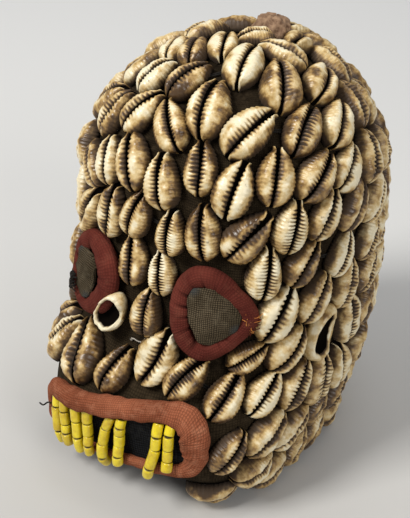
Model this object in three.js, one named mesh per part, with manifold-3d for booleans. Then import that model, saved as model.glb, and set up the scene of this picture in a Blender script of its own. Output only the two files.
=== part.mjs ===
// Crest mask: a hollow cloth hood sewn all over with cowrie shells. The face has two padded cloth eye
// rings, a padded mouth roll and strings of tubular beads for teeth.
// Millimetres, +Z up. The face looks towards -Y, and the hood stands on its flat lower rim at z = 0.
import * as THREE from "three";
import Module from "manifold-3d";

const wasm = await Module();
wasm.setup();
const { Manifold, Mesh } = wasm;

// Hood
const HOOD_HEIGHT = 190.5;
const HOOD_WALL = 3;
const HOOD_MIDDLE = 5.2;
const DOME_START = 108.6;
const DOME_POWER = 2.07;
const BACK_POWER = 1.75;
const SECTION_HEIGHTS = [0, 8, 22, 42, 66, 91, 116, 147, 190];
const FRONT_REACH = [66, 79, 92, 93.5, 75.5, 73, 67, 68.5, 68.5];
const SIDE_REACH = [52, 53.5, 55.5, 60, 62.5, 62.5, 62.5, 68, 66];
const BACK_REACH = [44, 46, 53, 63, 78, 84, 79, 74, 78];
const FRONT_POWER_HEIGHTS = [0, 61, 98, 139, 190];
const FRONT_POWER = [6, 2.5, 2.35, 2.5, 2.65];
const HOOD_INSET = 0.6;
const HOOD_COLUMNS = 32;
const HOOD_LEVELS = [
  0, 10, 22, 34, 42, 48, 54, 60, 66, 76, 91, 104, 116, 131, 147, 165, 184, 203, 220, 233.5,
];
const LINING_COLUMNS = 16;
const LINING_LEVELS = [0, 22, 42, 66, 91, 118, 147, 184, 215, 233.5];

// Eyes
const LEFT_EYE = { angle: 23.9, height: 93, halfWidth: 13.8, halfHeight: 16.4 };
const RIGHT_EYE = { angle: -23.2, height: 91.5, halfWidth: 13.4, halfHeight: 15.2 };
const EYE_ROLL_RADIUS = 4.4;
const EYE_CLOTH_RISE = 6.6;

// Mouth
const MOUTH_HEIGHT = 32.3;
const MOUTH_LEAN = 9.3;
const MOUTH_HALF_WIDTH = 41.4;
const MOUTH_HALF_HEIGHT = 12.7;
const MOUTH_CORNER = 10;
const UPPER_LIP_RADIUS = 4.8;
const LOWER_LIP_RADIUS = 2.8;
const LIP_FLATNESS = 0.78;

// Teeth: each string runs from its arc position under the upper lip to the one over the lower lip.
const TOOTH_STRINGS = [
  { name: "tooth_string_1", top: -33.4, bottom: -32.6 },
  { name: "tooth_string_2", top: -28, bottom: -27.4 },
  { name: "tooth_string_3", top: -20.2, bottom: -20.6 },
  { name: "tooth_string_4", top: -13.2, bottom: -14.4 },
  { name: "tooth_string_5", top: 1, bottom: -5 },
  { name: "tooth_string_6", top: 6.4, bottom: 3.2 },
  { name: "tooth_string_7", top: 24.2, bottom: 19.2 },
  { name: "tooth_string_8", top: 29.4, bottom: 27.4 },
];
const BEAD_RADIUS = 2.45;
const BEAD_NECK_RADIUS = 1.9;
const BEADS_PER_STRING = 4;
const BEAD_SIDES = 6;
const TOOTH_CLEARANCE = 2.9;

// Shells
const SHELL_LENGTH = 25.4;
const SHELL_LENGTH_SPREAD = 2.2;
const SHELL_SLIMNESS = 0.63;
const SHELL_SLIMNESS_SPREAD = 0.03;
const SHELL_RISE = 8;
const SHELL_BASE_GAP = 0.6;
const SHELL_SPACE = 0.4;
const ZIGZAG = 3;
const THREAD_RISE = 2;
const THREAD_SPACE = 6;
const DISC_HEIGHT = 1.3;
const ROW_BLEND = 0.2;
const PLAIN_FROM = 100;
const PLAIN_FAR_FROM = 70;

// Rows of shells round the hood, from the rim to the crown. The shells near the face have their own places:
// angle round the head, height, lean and size as a share of a usual shell. The row then runs on evenly round
// the back, from the last near shell to the first far one. A row without far shells closes on itself.
const SHELL_ROWS = [
  {
    name: "rim_shells",
    height: 12,
    pitch: 20,
    lean: 60,
    near: [[30, 9.5, 84, 0.9], [38, 19, 80, 1.05], [47, 9.5, 86, 1]],
    far: [[-50, 14, -50, 1]],
  },
  {
    name: "jaw_shells",
    height: 32,
    pitch: 20,
    lean: 30,
    near: [[31, 35, 38, 0.88], [42, 37, 54, 1.02], [54, 30, 66, 1], [67, 26, 14, 0.9]],
    far: [[-48, 32, -24, 1]],
  },
  {
    name: "cheek_shells",
    height: 51,
    pitch: 20,
    lean: 30,
    near: [[40, 55, 38, 1], [53, 52, 34, 0.96], [69, 47, 8, 1.04], [83, 41, -6, 1.06]],
    far: [[-43, 51, 26, 1.05], [-31, 52, 16, 1]],
  },
  {
    name: "low_side_shells",
    height: 71,
    pitch: 20,
    lean: 28,
    near: [[83, 70, 0, 1]],
    far: [[-46, 72, -14, 1]],
  },
  {
    name: "side_shells",
    height: 92,
    pitch: 20,
    lean: 28,
    near: [[62, 97, 32, 1], [80, 95, 20, 0.95]],
    far: [[-46, 93, -16, 1]],
  },
  {
    name: "brow_shells",
    height: 111,
    pitch: 20,
    lean: 28,
    near: [[39, 112, 6, 1], [55, 115, 32, 0.96], [74, 113, 26, 0.9]],
    far: [[-54, 109, -10, 1]],
  },
  {
    name: "forehead_shells",
    height: 130,
    pitch: 19.6,
    lean: 28,
    near: [
      [-33, 116, 24, 1.05], [-20, 123, 4, 0.9], [-10, 129, 14, 1], [6, 123, 0, 0.9], [18, 130, -6, 1],
      [34, 133, 40, 1.02], [47, 133, 10, 1], [64, 135, 28, 0.94], [80, 134, 30, 0.94],
    ],
    far: [],
  },
  {
    name: "upper_forehead_shells",
    height: 149,
    pitch: 19.6,
    lean: 28,
    near: [
      [-36, 136, -42, 0.9], [-26, 144, -22, 0.92], [-14, 149, -26, 1], [2, 143, -14, 1.04], [16, 157, -6, 0.96],
      [28, 147, 16, 1.02], [44, 154, 10, 1], [59, 152, 44, 1], [76, 149, 48, 0.92],
    ],
    far: [],
  },
  {
    name: "lower_crown_shells",
    height: 168,
    pitch: 19.6,
    lean: 28,
    near: [
      [-52, 153, 26, 1], [-38, 164, 2, 0.9], [-22, 169, 18, 0.88], [-5, 167, -38, 0.98], [14, 183, 2, 1.12],
      [36, 171, 44, 1.12], [59, 175, 38, 1.04], [80, 168, 46, 1.04],
    ],
    far: [],
  },
  {
    name: "crown_shells",
    height: 190,
    pitch: 19.6,
    lean: 24,
    near: [
      [-58, 186, -20, 0.86], [-30, 190, 2, 0.86], [-9, 189, 18, 0.92], [22, 209, 16, 0.98],
      [54, 197, 16, 1.12], [90, 190, 60, 1],
    ],
    far: [],
  },
];

// Shells sewn singly on the face: angle round the head, height, lean and size as a share of a usual shell.
const FACE_GROUPS = [
  {
    name: "nose_shells",
    shells: [
      { angle: -8, height: 108, lean: -10, size: 0.84 },
      { angle: 4.5, height: 102, lean: -10, size: 0.88 },
      { angle: -2, height: 84, lean: 2, size: 1.04 },
    ],
  },
  {
    name: "lip_shells",
    shells: [
      { angle: -18, height: 56, lean: -28, size: 1.14 },
      { angle: -4, height: 58, lean: 10, size: 0.94 },
      { angle: 8, height: 73, lean: 20, size: 1.08 },
      { angle: 15, height: 59, lean: 36, size: 1 },
      { angle: 27, height: 54, lean: 28, size: 0.95 },
    ],
  },
  {
    name: "near_cheek_shells",
    shells: [
      { angle: 46, height: 93, lean: 28, size: 1.02 },
      { angle: 50, height: 74, lean: 42, size: 1.02 },
    ],
  },
  { name: "under_eye_shell", shells: [{ angle: 36, height: 70, lean: 58, size: 0.84 }] },
  {
    name: "crown_top_shells",
    shells: [
      { angle: -128, height: 212, lean: -60, size: 1 },
      { angle: -92, height: 208, lean: -70, size: 0.92 },
      { angle: -58, height: 205, lean: -60, size: 0.86 },
      { angle: -31, height: 210, lean: -46, size: 0.84 },
      { angle: -8, height: 218, lean: -36, size: 0.82 },
      { angle: 60, height: 230, lean: -70, size: 0.76 },
      { angle: 84, height: 211, lean: -24, size: 0.95 },
      { angle: 118, height: 213, lean: -60, size: 0.92 },
    ],
  },
];
const BROKEN_NOSE_SHELL = { name: "broken_nose_shell", angle: -14, height: 79, lean: 26, size: 1 };
const BROKEN_SIDE_SHELL = { name: "broken_side_shell", angle: 67, height: 74, lean: 24, size: 1.05 };
const CROWN_LUMP = { name: "crown_lump", angle: 172, height: 220, radius: 8.4, rise: 8 };

// Colours
const SHELL_COLOUR = 0xc9b48f;
const CLOTH_COLOUR = 0x4a3f31;
const EYE_ROLL_COLOUR = 0x7d3a34;
const EYE_CLOTH_COLOUR = 0x5d584c;
const MOUTH_COLOUR = 0x9a4f3c;
const MOUTH_CLOTH_COLOUR = 0x23262b;
const BEAD_COLOUR = 0xd9c21f;
const LUMP_COLOUR = 0x8a6a50;

const RAD = Math.PI / 180;
const V_TOP = DOME_START + ((HOOD_HEIGHT - DOME_START) * Math.PI) / 2;

// Small vector helpers
const add = (a, b) => [a[0] + b[0], a[1] + b[1], a[2] + b[2]];
const sub = (a, b) => [a[0] - b[0], a[1] - b[1], a[2] - b[2]];
const mul = (a, s) => [a[0] * s, a[1] * s, a[2] * s];
const dot = (a, b) => a[0] * b[0] + a[1] * b[1] + a[2] * b[2];
const cross = (a, b) => [
  a[1] * b[2] - a[2] * b[1],
  a[2] * b[0] - a[0] * b[2],
  a[0] * b[1] - a[1] * b[0],
];
const len = (a) => Math.sqrt(dot(a, a));
const unit = (a) => mul(a, 1 / (len(a) || 1));
const clamp = (x, lo, hi) => Math.min(hi, Math.max(lo, x));
// A repeatable number from 0 to 1 for each n.
const chance = (n) => {
  const s = Math.sin(n * 12.9898) * 43758.5453;
  return s - Math.floor(s);
};
const softStep = (t) => {
  const x = clamp(t, 0, 1);
  return x * x * (3 - 2 * x);
};

// A smooth curve through the knots that never overshoots them.
function smoothCurve(xs, ys) {
  const n = xs.length;
  const h = [];
  const d = [];
  for (let i = 0; i < n - 1; i++) {
    h.push(xs[i + 1] - xs[i]);
    d.push((ys[i + 1] - ys[i]) / h[i]);
  }
  const m = new Array(n).fill(0);
  for (let i = 1; i < n - 1; i++) {
    if (d[i - 1] * d[i] > 0) {
      const w1 = 2 * h[i] + h[i - 1];
      const w2 = h[i] + 2 * h[i - 1];
      m[i] = (w1 + w2) / (w1 / d[i - 1] + w2 / d[i]);
    }
  }
  m[0] = d[0];
  m[n - 1] = d[n - 2];
  return (x0) => {
    const x = clamp(x0, xs[0], xs[n - 1]);
    let i = 0;
    while (i < n - 2 && x > xs[i + 1]) i++;
    const t = (x - xs[i]) / h[i];
    const t2 = t * t;
    const t3 = t2 * t;
    return (
      ys[i] * (2 * t3 - 3 * t2 + 1) +
      m[i] * h[i] * (t3 - 2 * t2 + t) +
      ys[i + 1] * (3 * t2 - 2 * t3) +
      m[i + 1] * h[i] * (t3 - t2)
    );
  };
}
const frontReach = smoothCurve(SECTION_HEIGHTS, FRONT_REACH);
const sideReach = smoothCurve(SECTION_HEIGHTS, SIDE_REACH);
const backReach = smoothCurve(SECTION_HEIGHTS, BACK_REACH);
const frontPower = smoothCurve(FRONT_POWER_HEIGHTS, FRONT_POWER);

// Distance from the axis to the cloth at one angle and height, before the dome closes it.
function openRadius(phi, z) {
  const c = Math.cos(phi);
  const s = Math.abs(Math.sin(phi));
  const front = c > 0;
  const power = front ? frontPower(z) : BACK_POWER;
  const depth = front ? frontReach(z) : backReach(z);
  return Math.pow(Math.pow(Math.abs(c) / depth, power) + Math.pow(s / sideReach(z), power), -1 / power);
}

// The cloth's outer surface. v is the height up to the dome, and runs on over the dome to the crown.
function surface(phi, v) {
  let z = v;
  let dome = 1;
  if (v > DOME_START) {
    const a = Math.min((v - DOME_START) / (HOOD_HEIGHT - DOME_START), Math.PI / 2);
    z = DOME_START + (HOOD_HEIGHT - DOME_START) * Math.pow(Math.sin(a), 2 / DOME_POWER);
    dome = Math.pow(Math.max(Math.cos(a), 0), 2 / DOME_POWER);
  }
  const r = openRadius(phi, z) * dome;
  return [r * Math.sin(phi), HOOD_MIDDLE - r * Math.cos(phi), z];
}

// The surface with its outward normal, the direction up it and the direction round it.
function frameAt(phi, v) {
  const p = surface(phi, v);
  const e = 1e-3;
  const along = mul(sub(surface(phi + e, v), surface(phi - e, v)), 0.5 / e);
  const top = Math.min(v + 0.05, V_TOP - 1e-6);
  const up = mul(sub(surface(phi, top), surface(phi, top - 0.1)), 10);
  const n = unit(cross(along, up));
  const rise = unit(sub(up, mul(n, dot(up, n))));
  return { p, n, rise, side: cross(rise, n), along, up };
}

// How far a point lies outside the cloth, less than zero inside it.
function level(q) {
  const back = q[1] - HOOD_MIDDLE;
  const r = Math.hypot(q[0], back);
  const t = Math.max(0, (q[2] - DOME_START) / (HOOD_HEIGHT - DOME_START));
  const share = r / openRadius(Math.atan2(q[0], -back), q[2]);
  return Math.pow(Math.pow(share, DOME_POWER) + Math.pow(t, DOME_POWER), 1 / DOME_POWER);
}
function clearance(q) {
  const e = 0.02;
  const g = [0, 1, 2].map((k) => {
    const a = q.slice();
    const b = q.slice();
    a[k] += e;
    b[k] -= e;
    return (level(a) - level(b)) / (2 * e);
  });
  return (level(q) - 1) / len(g);
}

// The angle at an arc length round the cloth from the middle of the face, at one height.
const arcTables = new Map();
function arcTable(v) {
  const key = v.toFixed(3);
  if (!arcTables.has(key)) {
    const angles = [];
    const arcs = [];
    let s = 0;
    for (let i = 0; i <= 360; i++) {
      const phi = (i - 180) * RAD;
      if (i) s += len(sub(surface(phi, v), surface(phi - RAD, v)));
      angles.push(phi);
      arcs.push(s);
    }
    const middle = arcs[180];
    arcTables.set(key, { angles, arcs: arcs.map((x) => x - middle), round: s });
  }
  return arcTables.get(key);
}
function angleAtArc(v, s) {
  const { angles, arcs, round } = arcTable(v);
  let x = s;
  while (x > arcs[360]) x -= round;
  while (x < arcs[0]) x += round;
  let i = 0;
  while (i < 359 && x > arcs[i + 1]) i++;
  const t = (x - arcs[i]) / (arcs[i + 1] - arcs[i]);
  return angles[i] + (angles[i + 1] - angles[i]) * t;
}
function arcAtAngle(v, phi) {
  const { arcs } = arcTable(v);
  const x = clamp(phi / RAD + 180, 0, 359.999);
  const i = Math.floor(x);
  return arcs[i] + (arcs[i + 1] - arcs[i]) * (x - i);
}

// A point of the cloth's local frame moved onto the cloth and lifted by h.
function onCloth(frame, a, b, axisA, axisB, h) {
  let q = add(frame.p, add(mul(axisA, a), mul(axisB, b)));
  for (let k = 0; k < 2; k++) q = sub(q, mul(frame.n, clearance(q)));
  return add(q, mul(frame.n, h));
}

// A closed solid from its points and triangles, turned to face outwards.
function solid(points, triangles) {
  const make = (faces) =>
    new Manifold(
      new Mesh({
        numProp: 3,
        vertProperties: new Float32Array(points.flat()),
        triVerts: new Uint32Array(faces.flat()),
      }),
    );
  const made = make(triangles);
  return made.volume() < 0 ? make(triangles.map(([a, b, c]) => [a, c, b])) : made;
}

// Rings of equal count joined in turn, each end closed by a fan or meeting at one point.
function ringSolid(rings, closed) {
  const n = rings[0].length;
  const points = rings.flat();
  const triangles = [];
  const count = rings.length;
  for (let i = 0; i < (closed ? count : count - 1); i++) {
    const a = i * n;
    const b = ((i + 1) % count) * n;
    for (let j = 0; j < n; j++) {
      const k = (j + 1) % n;
      triangles.push([a + j, a + k, b + k], [a + j, b + k, b + j]);
    }
  }
  if (!closed) {
    for (let j = 1; j < n - 1; j++) {
      triangles.push([0, j + 1, j]);
      const b = (count - 1) * n;
      triangles.push([b, b + j, b + j + 1]);
    }
  }
  return solid(points, triangles);
}

// Hood: the outer form less the hollow
function hoodForm(columns, levels, inset, bottom) {
  const rings = [];
  levels.forEach((v, i) => {
    const ring = [];
    for (let j = 0; j < columns; j++) {
      const phi = (2 * Math.PI * j) / columns;
      const f = frameAt(phi, v);
      const p = sub(f.p, mul(f.n, inset));
      ring.push(i === 0 ? [p[0], p[1], bottom] : p);
    }
    rings.push(ring);
  });
  return ringSolid(rings, false);
}
function makeHood() {
  const outer = hoodForm(HOOD_COLUMNS, HOOD_LEVELS, HOOD_INSET, 0);
  const hollow = hoodForm(LINING_COLUMNS, LINING_LEVELS, HOOD_WALL, -6);
  return outer.subtract(hollow);
}

// Eye rings and the cloth inside them
function eyeFrame(eye) {
  return frameAt(eye.angle * RAD, eye.height);
}
function makeEyeRoll(eye) {
  const frame = eyeFrame(eye);
  const rings = [];
  const steps = 18;
  const sides = 6;
  for (let i = 0; i < steps; i++) {
    const a = (2 * Math.PI * i) / steps;
    const out = [Math.cos(a), Math.sin(a)];
    const centre = onCloth(
      frame,
      eye.halfWidth * out[0],
      eye.halfHeight * out[1],
      frame.side,
      frame.rise,
      EYE_ROLL_RADIUS + SHELL_BASE_GAP,
    );
    const away = unit(
      add(mul(frame.side, out[0] / eye.halfWidth), mul(frame.rise, out[1] / eye.halfHeight)),
    );
    const ring = [];
    for (let j = 0; j < sides; j++) {
      const b = (2 * Math.PI * (j + 0.5)) / sides;
      const round = add(mul(away, Math.cos(b)), mul(frame.n, Math.sin(b)));
      ring.push(add(centre, mul(round, EYE_ROLL_RADIUS)));
    }
    rings.push(ring);
  }
  return ringSolid(rings, true);
}

// A thin patch that follows the cloth: an edge line and a middle point, both with a top and an underside.
function patch(frame, edge, axisA, axisB, low, high) {
  const n = edge.length;
  const points = [];
  for (const h of [low, high]) {
    for (const share of [1, 0.55]) {
      for (const [a, b] of edge) points.push(onCloth(frame, a * share, b * share, axisA, axisB, h));
    }
    points.push(onCloth(frame, 0, 0, axisA, axisB, h));
  }
  const under = 0;
  const over = 2 * n + 1;
  const triangles = [];
  for (let j = 0; j < n; j++) {
    const k = (j + 1) % n;
    triangles.push(
      [under + j, over + k, over + j],
      [under + j, under + k, over + k],
      [over + j, over + k, over + n + k],
      [over + j, over + n + k, over + n + j],
      [over + n + j, over + n + k, over + 2 * n],
      [under + k, under + j, under + n + k],
      [under + j, under + n + j, under + n + k],
      [under + n + k, under + n + j, under + 2 * n],
    );
  }
  return solid(points, triangles);
}
function makeEyeCloth(eye) {
  const frame = eyeFrame(eye);
  const edge = [];
  const reach = EYE_ROLL_RADIUS + 0.4;
  for (let i = 0; i < 12; i++) {
    const a = (2 * Math.PI * i) / 12;
    edge.push([(eye.halfWidth - reach) * Math.cos(a), (eye.halfHeight - reach) * Math.sin(a)]);
  }
  return patch(frame, edge, frame.side, frame.rise, SHELL_BASE_GAP, EYE_CLOTH_RISE);
}

// The mouth's own plane: a runs along it towards the mask's left, b up it.
function mouthPoint(a, b, h) {
  const lean = MOUTH_LEAN * RAD;
  const v = MOUTH_HEIGHT + a * Math.sin(lean) + b * Math.cos(lean);
  const f = frameAt(angleAtArc(v, a * Math.cos(lean) - b * Math.sin(lean)), v);
  return { p: add(f.p, mul(f.n, h)), n: f.n };
}
// The rounded outline that the lips follow, as a share of the way round.
function mouthPath(share) {
  const w = MOUTH_HALF_WIDTH - MOUTH_CORNER;
  const h = MOUTH_HALF_HEIGHT - MOUTH_CORNER;
  const arc = (Math.PI / 2) * MOUTH_CORNER;
  const around = 4 * (w + h + arc);
  let s = (((share % 1) + 1) % 1) * around;
  const parts = [
    [h, [1, 0]],
    [arc, null],
    [2 * w, [0, 1]],
    [arc, null],
    [2 * h, [-1, 0]],
    [arc, null],
    [2 * w, [0, -1]],
    [arc, null],
    [h, [1, 0]],
  ];
  let a = MOUTH_HALF_WIDTH;
  let b = 0;
  let turn = 0;
  for (const [length, out] of parts) {
    const t = Math.min(s, length);
    if (out) {
      a += -out[1] * t;
      b += out[0] * t;
      if (s <= length) return { a, b, out };
    } else {
      const c = [a - MOUTH_CORNER * Math.cos(turn), b - MOUTH_CORNER * Math.sin(turn)];
      const angle = turn + t / MOUTH_CORNER;
      a = c[0] + MOUTH_CORNER * Math.cos(angle);
      b = c[1] + MOUTH_CORNER * Math.sin(angle);
      turn = angle;
      if (s <= length) return { a, b, out: [Math.cos(angle), Math.sin(angle)] };
    }
    s -= length;
  }
  return { a, b, out: [1, 0] };
}
function lipRadius(b) {
  const t = clamp((b + MOUTH_HALF_HEIGHT) / (2 * MOUTH_HALF_HEIGHT), 0, 1);
  return LOWER_LIP_RADIUS + (UPPER_LIP_RADIUS - LOWER_LIP_RADIUS) * Math.pow(t, 0.7);
}
function makeMouthRoll() {
  const rings = [];
  const steps = 30;
  const sides = 7;
  for (let i = 0; i < steps; i++) {
    const { a, b, out } = mouthPath(i / steps);
    const radius = lipRadius(b);
    const rise = radius * LIP_FLATNESS;
    const centre = mouthPoint(a, b, rise + SHELL_BASE_GAP);
    const beyond = mouthPoint(a + out[0], b + out[1], rise + SHELL_BASE_GAP);
    const away = unit(sub(beyond.p, centre.p));
    const ring = [];
    for (let j = 0; j < sides; j++) {
      const t = (2 * Math.PI * (j + 0.25)) / sides;
      ring.push(
        add(centre.p, add(mul(away, radius * Math.cos(t)), mul(centre.n, rise * Math.sin(t)))),
      );
    }
    rings.push(ring);
  }
  return ringSolid(rings, true);
}
function makeMouthCloth() {
  const n = 16;
  const points = [];
  const shares = [1, 0.5];
  for (const h of [SHELL_BASE_GAP, 1.3]) {
    for (const share of shares) {
      for (let i = 0; i < n; i++) {
        const { a, b, out } = mouthPath(i / n);
        const inset = lipRadius(b) + 0.5;
        points.push(mouthPoint((a - out[0] * inset) * share, (b - out[1] * inset) * share, h).p);
      }
    }
    points.push(mouthPoint(0, 0, h).p);
  }
  const over = shares.length * n + 1;
  const triangles = [];
  for (let j = 0; j < n; j++) {
    const k = (j + 1) % n;
    triangles.push([j, over + k, over + j], [j, k, over + k]);
    for (let r = 0; r < shares.length - 1; r++) {
      const a = r * n;
      const b = (r + 1) * n;
      triangles.push(
        [over + a + j, over + a + k, over + b + k],
        [over + a + j, over + b + k, over + b + j],
        [a + k, a + j, b + k],
        [a + j, b + j, b + k],
      );
    }
    const c = (shares.length - 1) * n;
    triangles.push(
      [over + c + j, over + c + k, over + shares.length * n],
      [c + k, c + j, shares.length * n],
    );
  }
  return solid(points, triangles);
}

// Teeth: a stack of beads between the lips, narrower where two beads meet
function makeToothString(spec) {
  const topEdge = MOUTH_HALF_HEIGHT - UPPER_LIP_RADIUS - 0.5;
  const lowEdge = -(MOUTH_HALF_HEIGHT - LOWER_LIP_RADIUS - 0.4);
  const height = TOOTH_CLEARANCE + BEAD_RADIUS;
  const start = mouthPoint(spec.bottom, lowEdge, height);
  const end = mouthPoint(spec.top, topEdge, height);
  const axis = unit(sub(end.p, start.p));
  const n = unit(add(start.n, end.n));
  const across = unit(cross(axis, n));
  const front = cross(across, axis);
  const length = len(sub(end.p, start.p));
  const bead = length / BEADS_PER_STRING;
  const profile = [];
  for (let i = 0; i < BEADS_PER_STRING; i++) {
    profile.push([i * bead, BEAD_NECK_RADIUS], [(i + 0.5) * bead, BEAD_RADIUS]);
  }
  profile.push([length, BEAD_NECK_RADIUS]);
  const rings = profile.map(([t, r]) => {
    const ring = [];
    for (let j = 0; j < BEAD_SIDES; j++) {
      const a = (2 * Math.PI * j) / BEAD_SIDES;
      ring.push(
        add(start.p, add(mul(axis, t), add(mul(across, -r * Math.cos(a)), mul(front, r * Math.sin(a))))),
      );
    }
    return ring;
  });
  return ringSolid(rings, false);
}

// Where every shell sits before they settle against each other
function placeShells() {
  const shells = [];
  const place = (group, phi, v, lean, size, extra) => {
    const k = shells.length + 1;
    const length = (SHELL_LENGTH + SHELL_LENGTH_SPREAD * (2 * chance(k) - 1)) * size;
    const slim = SHELL_SLIMNESS + SHELL_SLIMNESS_SPREAD * (2 * chance(k + 500) - 1);
    shells.push({
      group,
      phi,
      v,
      home: [phi, v],
      lean: lean * RAD,
      length,
      width: length * slim,
      rise: SHELL_RISE * (0.92 + 0.16 * chance(k + 900)) * size,
      hold: 0.06,
      ...extra,
    });
  };
  SHELL_ROWS.forEach((row, r) => {
    const start = row.near[row.near.length - 1];
    const goal = row.far[0] || row.near[0];
    const from = arcAtAngle(row.height, start[0] * RAD);
    const to = arcAtAngle(row.height, goal[0] * RAD) + arcTable(row.height).round;
    const count = Math.max(0, Math.round((to - from) / row.pitch) - 1);
    let order = 0;
    const placeOwn = ([angle, height, lean, size]) => {
      place(row.name, angle * RAD, height, lean, size, { order, hold: 0.3 });
      order++;
    };
    row.near.forEach(placeOwn);
    for (let i = 1; i <= count; i++) {
      const share = i / (count + 1);
      const k = 100 * (r + 1) + i;
      const early = 1 - softStep(share / ROW_BLEND);
      const late = 1 - softStep((1 - share) / ROW_BLEND);
      const level = row.height + (start[1] - row.height) * early + (goal[1] - row.height) * late;
      const v = level + (i % 2 ? ZIGZAG : -ZIGZAG) + 2.4 * (chance(k + 0.3) - 0.5);
      const phi = angleAtArc(row.height, from + (to - from) * share + 2.4 * (chance(k + 0.6) - 0.5));
      const lean = row.lean * Math.sin(phi) + 26 * (chance(k + 0.8) - 0.5);
      place(row.name, phi, v, lean, 1, { order });
      order++;
    }
    row.far.forEach(placeOwn);
  });
  for (const group of FACE_GROUPS) {
    group.shells.forEach((s, i) => {
      place(group.name, s.angle * RAD, s.height, s.lean, s.size, { order: i, hold: 0.5 });
    });
  }
  for (const s of [BROKEN_NOSE_SHELL, BROKEN_SIDE_SHELL]) {
    place(s.name, s.angle * RAD, s.height, s.lean, s.size, { order: 0, hold: 0.5 });
  }
  return shells;
}

// Each shell counts as three discs in a line, each eye and the mouth as discs along their rolls.
const DISCS = [
  [-0.24, 0.265],
  [0.02, 0.315],
  [0.28, 0.2],
];
function shellDiscs(shell) {
  const f = frameAt(shell.phi, shell.v);
  const axis = add(mul(f.rise, Math.cos(shell.lean)), mul(f.side, Math.sin(shell.lean)));
  const wide = shell.width / (SHELL_SLIMNESS * shell.length);
  const discs = DISCS.map(([u, r]) => ({
    c: onCloth(f, u * shell.length, 0, axis, f.side, DISC_HEIGHT),
    r: r * shell.length * wide,
  }));
  return { f, discs };
}
function fixedDiscs() {
  const discs = [];
  for (const eye of [RIGHT_EYE, LEFT_EYE]) {
    const frame = eyeFrame(eye);
    for (let i = 0; i < 24; i++) {
      const a = (2 * Math.PI * i) / 24;
      discs.push({
        c: onCloth(
          frame,
          eye.halfWidth * Math.cos(a),
          eye.halfHeight * Math.sin(a),
          frame.side,
          frame.rise,
          DISC_HEIGHT,
        ),
        r: EYE_ROLL_RADIUS,
      });
    }
    discs.push({ c: onCloth(frame, 0, 0, frame.side, frame.rise, DISC_HEIGHT), r: 0.8 * eye.halfWidth });
  }
  for (let i = 0; i < 48; i++) {
    const { a, b } = mouthPath(i / 48);
    discs.push({ c: mouthPoint(a, b, DISC_HEIGHT).p, r: lipRadius(b) });
  }
  const lump = frameAt(CROWN_LUMP.angle * RAD, CROWN_LUMP.height);
  discs.push({ c: add(lump.p, mul(lump.n, DISC_HEIGHT)), r: CROWN_LUMP.radius });
  return discs;
}

// Which shells are tied to which, by their places in the list
function rowTies(shells) {
  const ties = [];
  const closed = SHELL_ROWS.filter((row) => row.far.length === 0).map((row) => row.name);
  for (const name of new Set(shells.map((shell) => shell.group))) {
    const members = shells.map((shell, i) => i).filter((i) => shells[i].group === name);
    members.sort((a, b) => shells[a].order - shells[b].order);
    const count = closed.includes(name) ? members.length : members.length - 1;
    for (let i = 0; i < count; i++) ties.push([members[i], members[(i + 1) % members.length]]);
  }
  return ties;
}

// The shells push each other apart until none overlap, and stay close to where they were placed.
function settle(shells) {
  const walls = fixedDiscs();
  const ties = rowTies(shells);
  const rounds = 190;
  for (let round = 0; round < rounds; round++) {
    const state = shells.map(shellDiscs);
    const pushes = shells.map(() => [0, 0, 0]);
    const worst = shells.map(() => 0);
    const part = (i, j, a, b, shareA, shareB) => {
      const d = sub(a.c, b.c);
      const gap = len(d) || 1e-6;
      const over = a.r + b.r + SHELL_SPACE - gap;
      if (over <= 0) return;
      const way = mul(d, over / gap);
      pushes[i] = add(pushes[i], mul(way, shareA));
      worst[i] = Math.max(worst[i], over);
      if (j >= 0) {
        pushes[j] = sub(pushes[j], mul(way, shareB));
        worst[j] = Math.max(worst[j], over);
      }
    };
    for (let i = 0; i < shells.length; i++) {
      for (let j = i + 1; j < shells.length; j++) {
        if (len(sub(state[i].f.p, state[j].f.p)) > 34) continue;
        const total = shells[i].hold + shells[j].hold;
        const shareA = shells[j].hold / total;
        for (const a of state[i].discs) {
          for (const b of state[j].discs) part(i, j, a, b, shareA, 1 - shareA);
        }
      }
      for (const b of walls) {
        if (len(sub(state[i].f.p, b.c)) > 34) continue;
        for (const a of state[i].discs) part(i, -1, a, b, 1, 0);
      }
      for (const a of state[i].discs) {
        const below = a.r + 1.4 - a.c[2];
        if (below > 0) {
          pushes[i] = add(pushes[i], [0, 0, below]);
          worst[i] = Math.max(worst[i], below);
        }
      }
    }
    // A shell of another row also keeps off the thread between two neighbours.
    for (const [i, j] of ties) {
      for (const share of [0.4, 0.6]) {
        const c = add(mul(state[i].discs[1].c, 1 - share), mul(state[j].discs[1].c, share));
        for (let k = 0; k < shells.length; k++) {
          if (shells[k].group === shells[i].group || len(sub(state[k].f.p, c)) > 20) continue;
          for (const a of state[k].discs) {
            const d = sub(a.c, c);
            const gap = len(d) || 1e-6;
            const over = a.r + THREAD_SPACE + SHELL_SPACE - gap;
            if (over <= 0) continue;
            const way = mul(d, over / gap);
            pushes[k] = add(pushes[k], mul(way, 0.6));
            pushes[i] = sub(pushes[i], mul(way, 0.3));
            pushes[j] = sub(pushes[j], mul(way, 0.3));
            worst[k] = Math.max(worst[k], over);
          }
        }
      }
    }
    shells.forEach((shell, i) => {
      const { f } = state[i];
      let push = mul(pushes[i], 0.45);
      const size = len(push);
      if (size > 1.5) push = mul(push, 1.5 / size);
      const round1 = Math.max(len(f.along), 8);
      shell.phi += dot(push, f.along) / (round1 * round1);
      shell.v += dot(push, f.up) / dot(f.up, f.up);
      const back = round < rounds - 60 ? 0.025 : 0;
      shell.phi += (shell.home[0] - shell.phi) * back;
      shell.v += (shell.home[1] - shell.v) * back;
      if (round >= 80 && round % 5 === 0 && worst[i] > 0.35) {
        shell.length *= 0.99;
        shell.width *= 0.99;
      }
    });
  }
  return shells;
}

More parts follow.
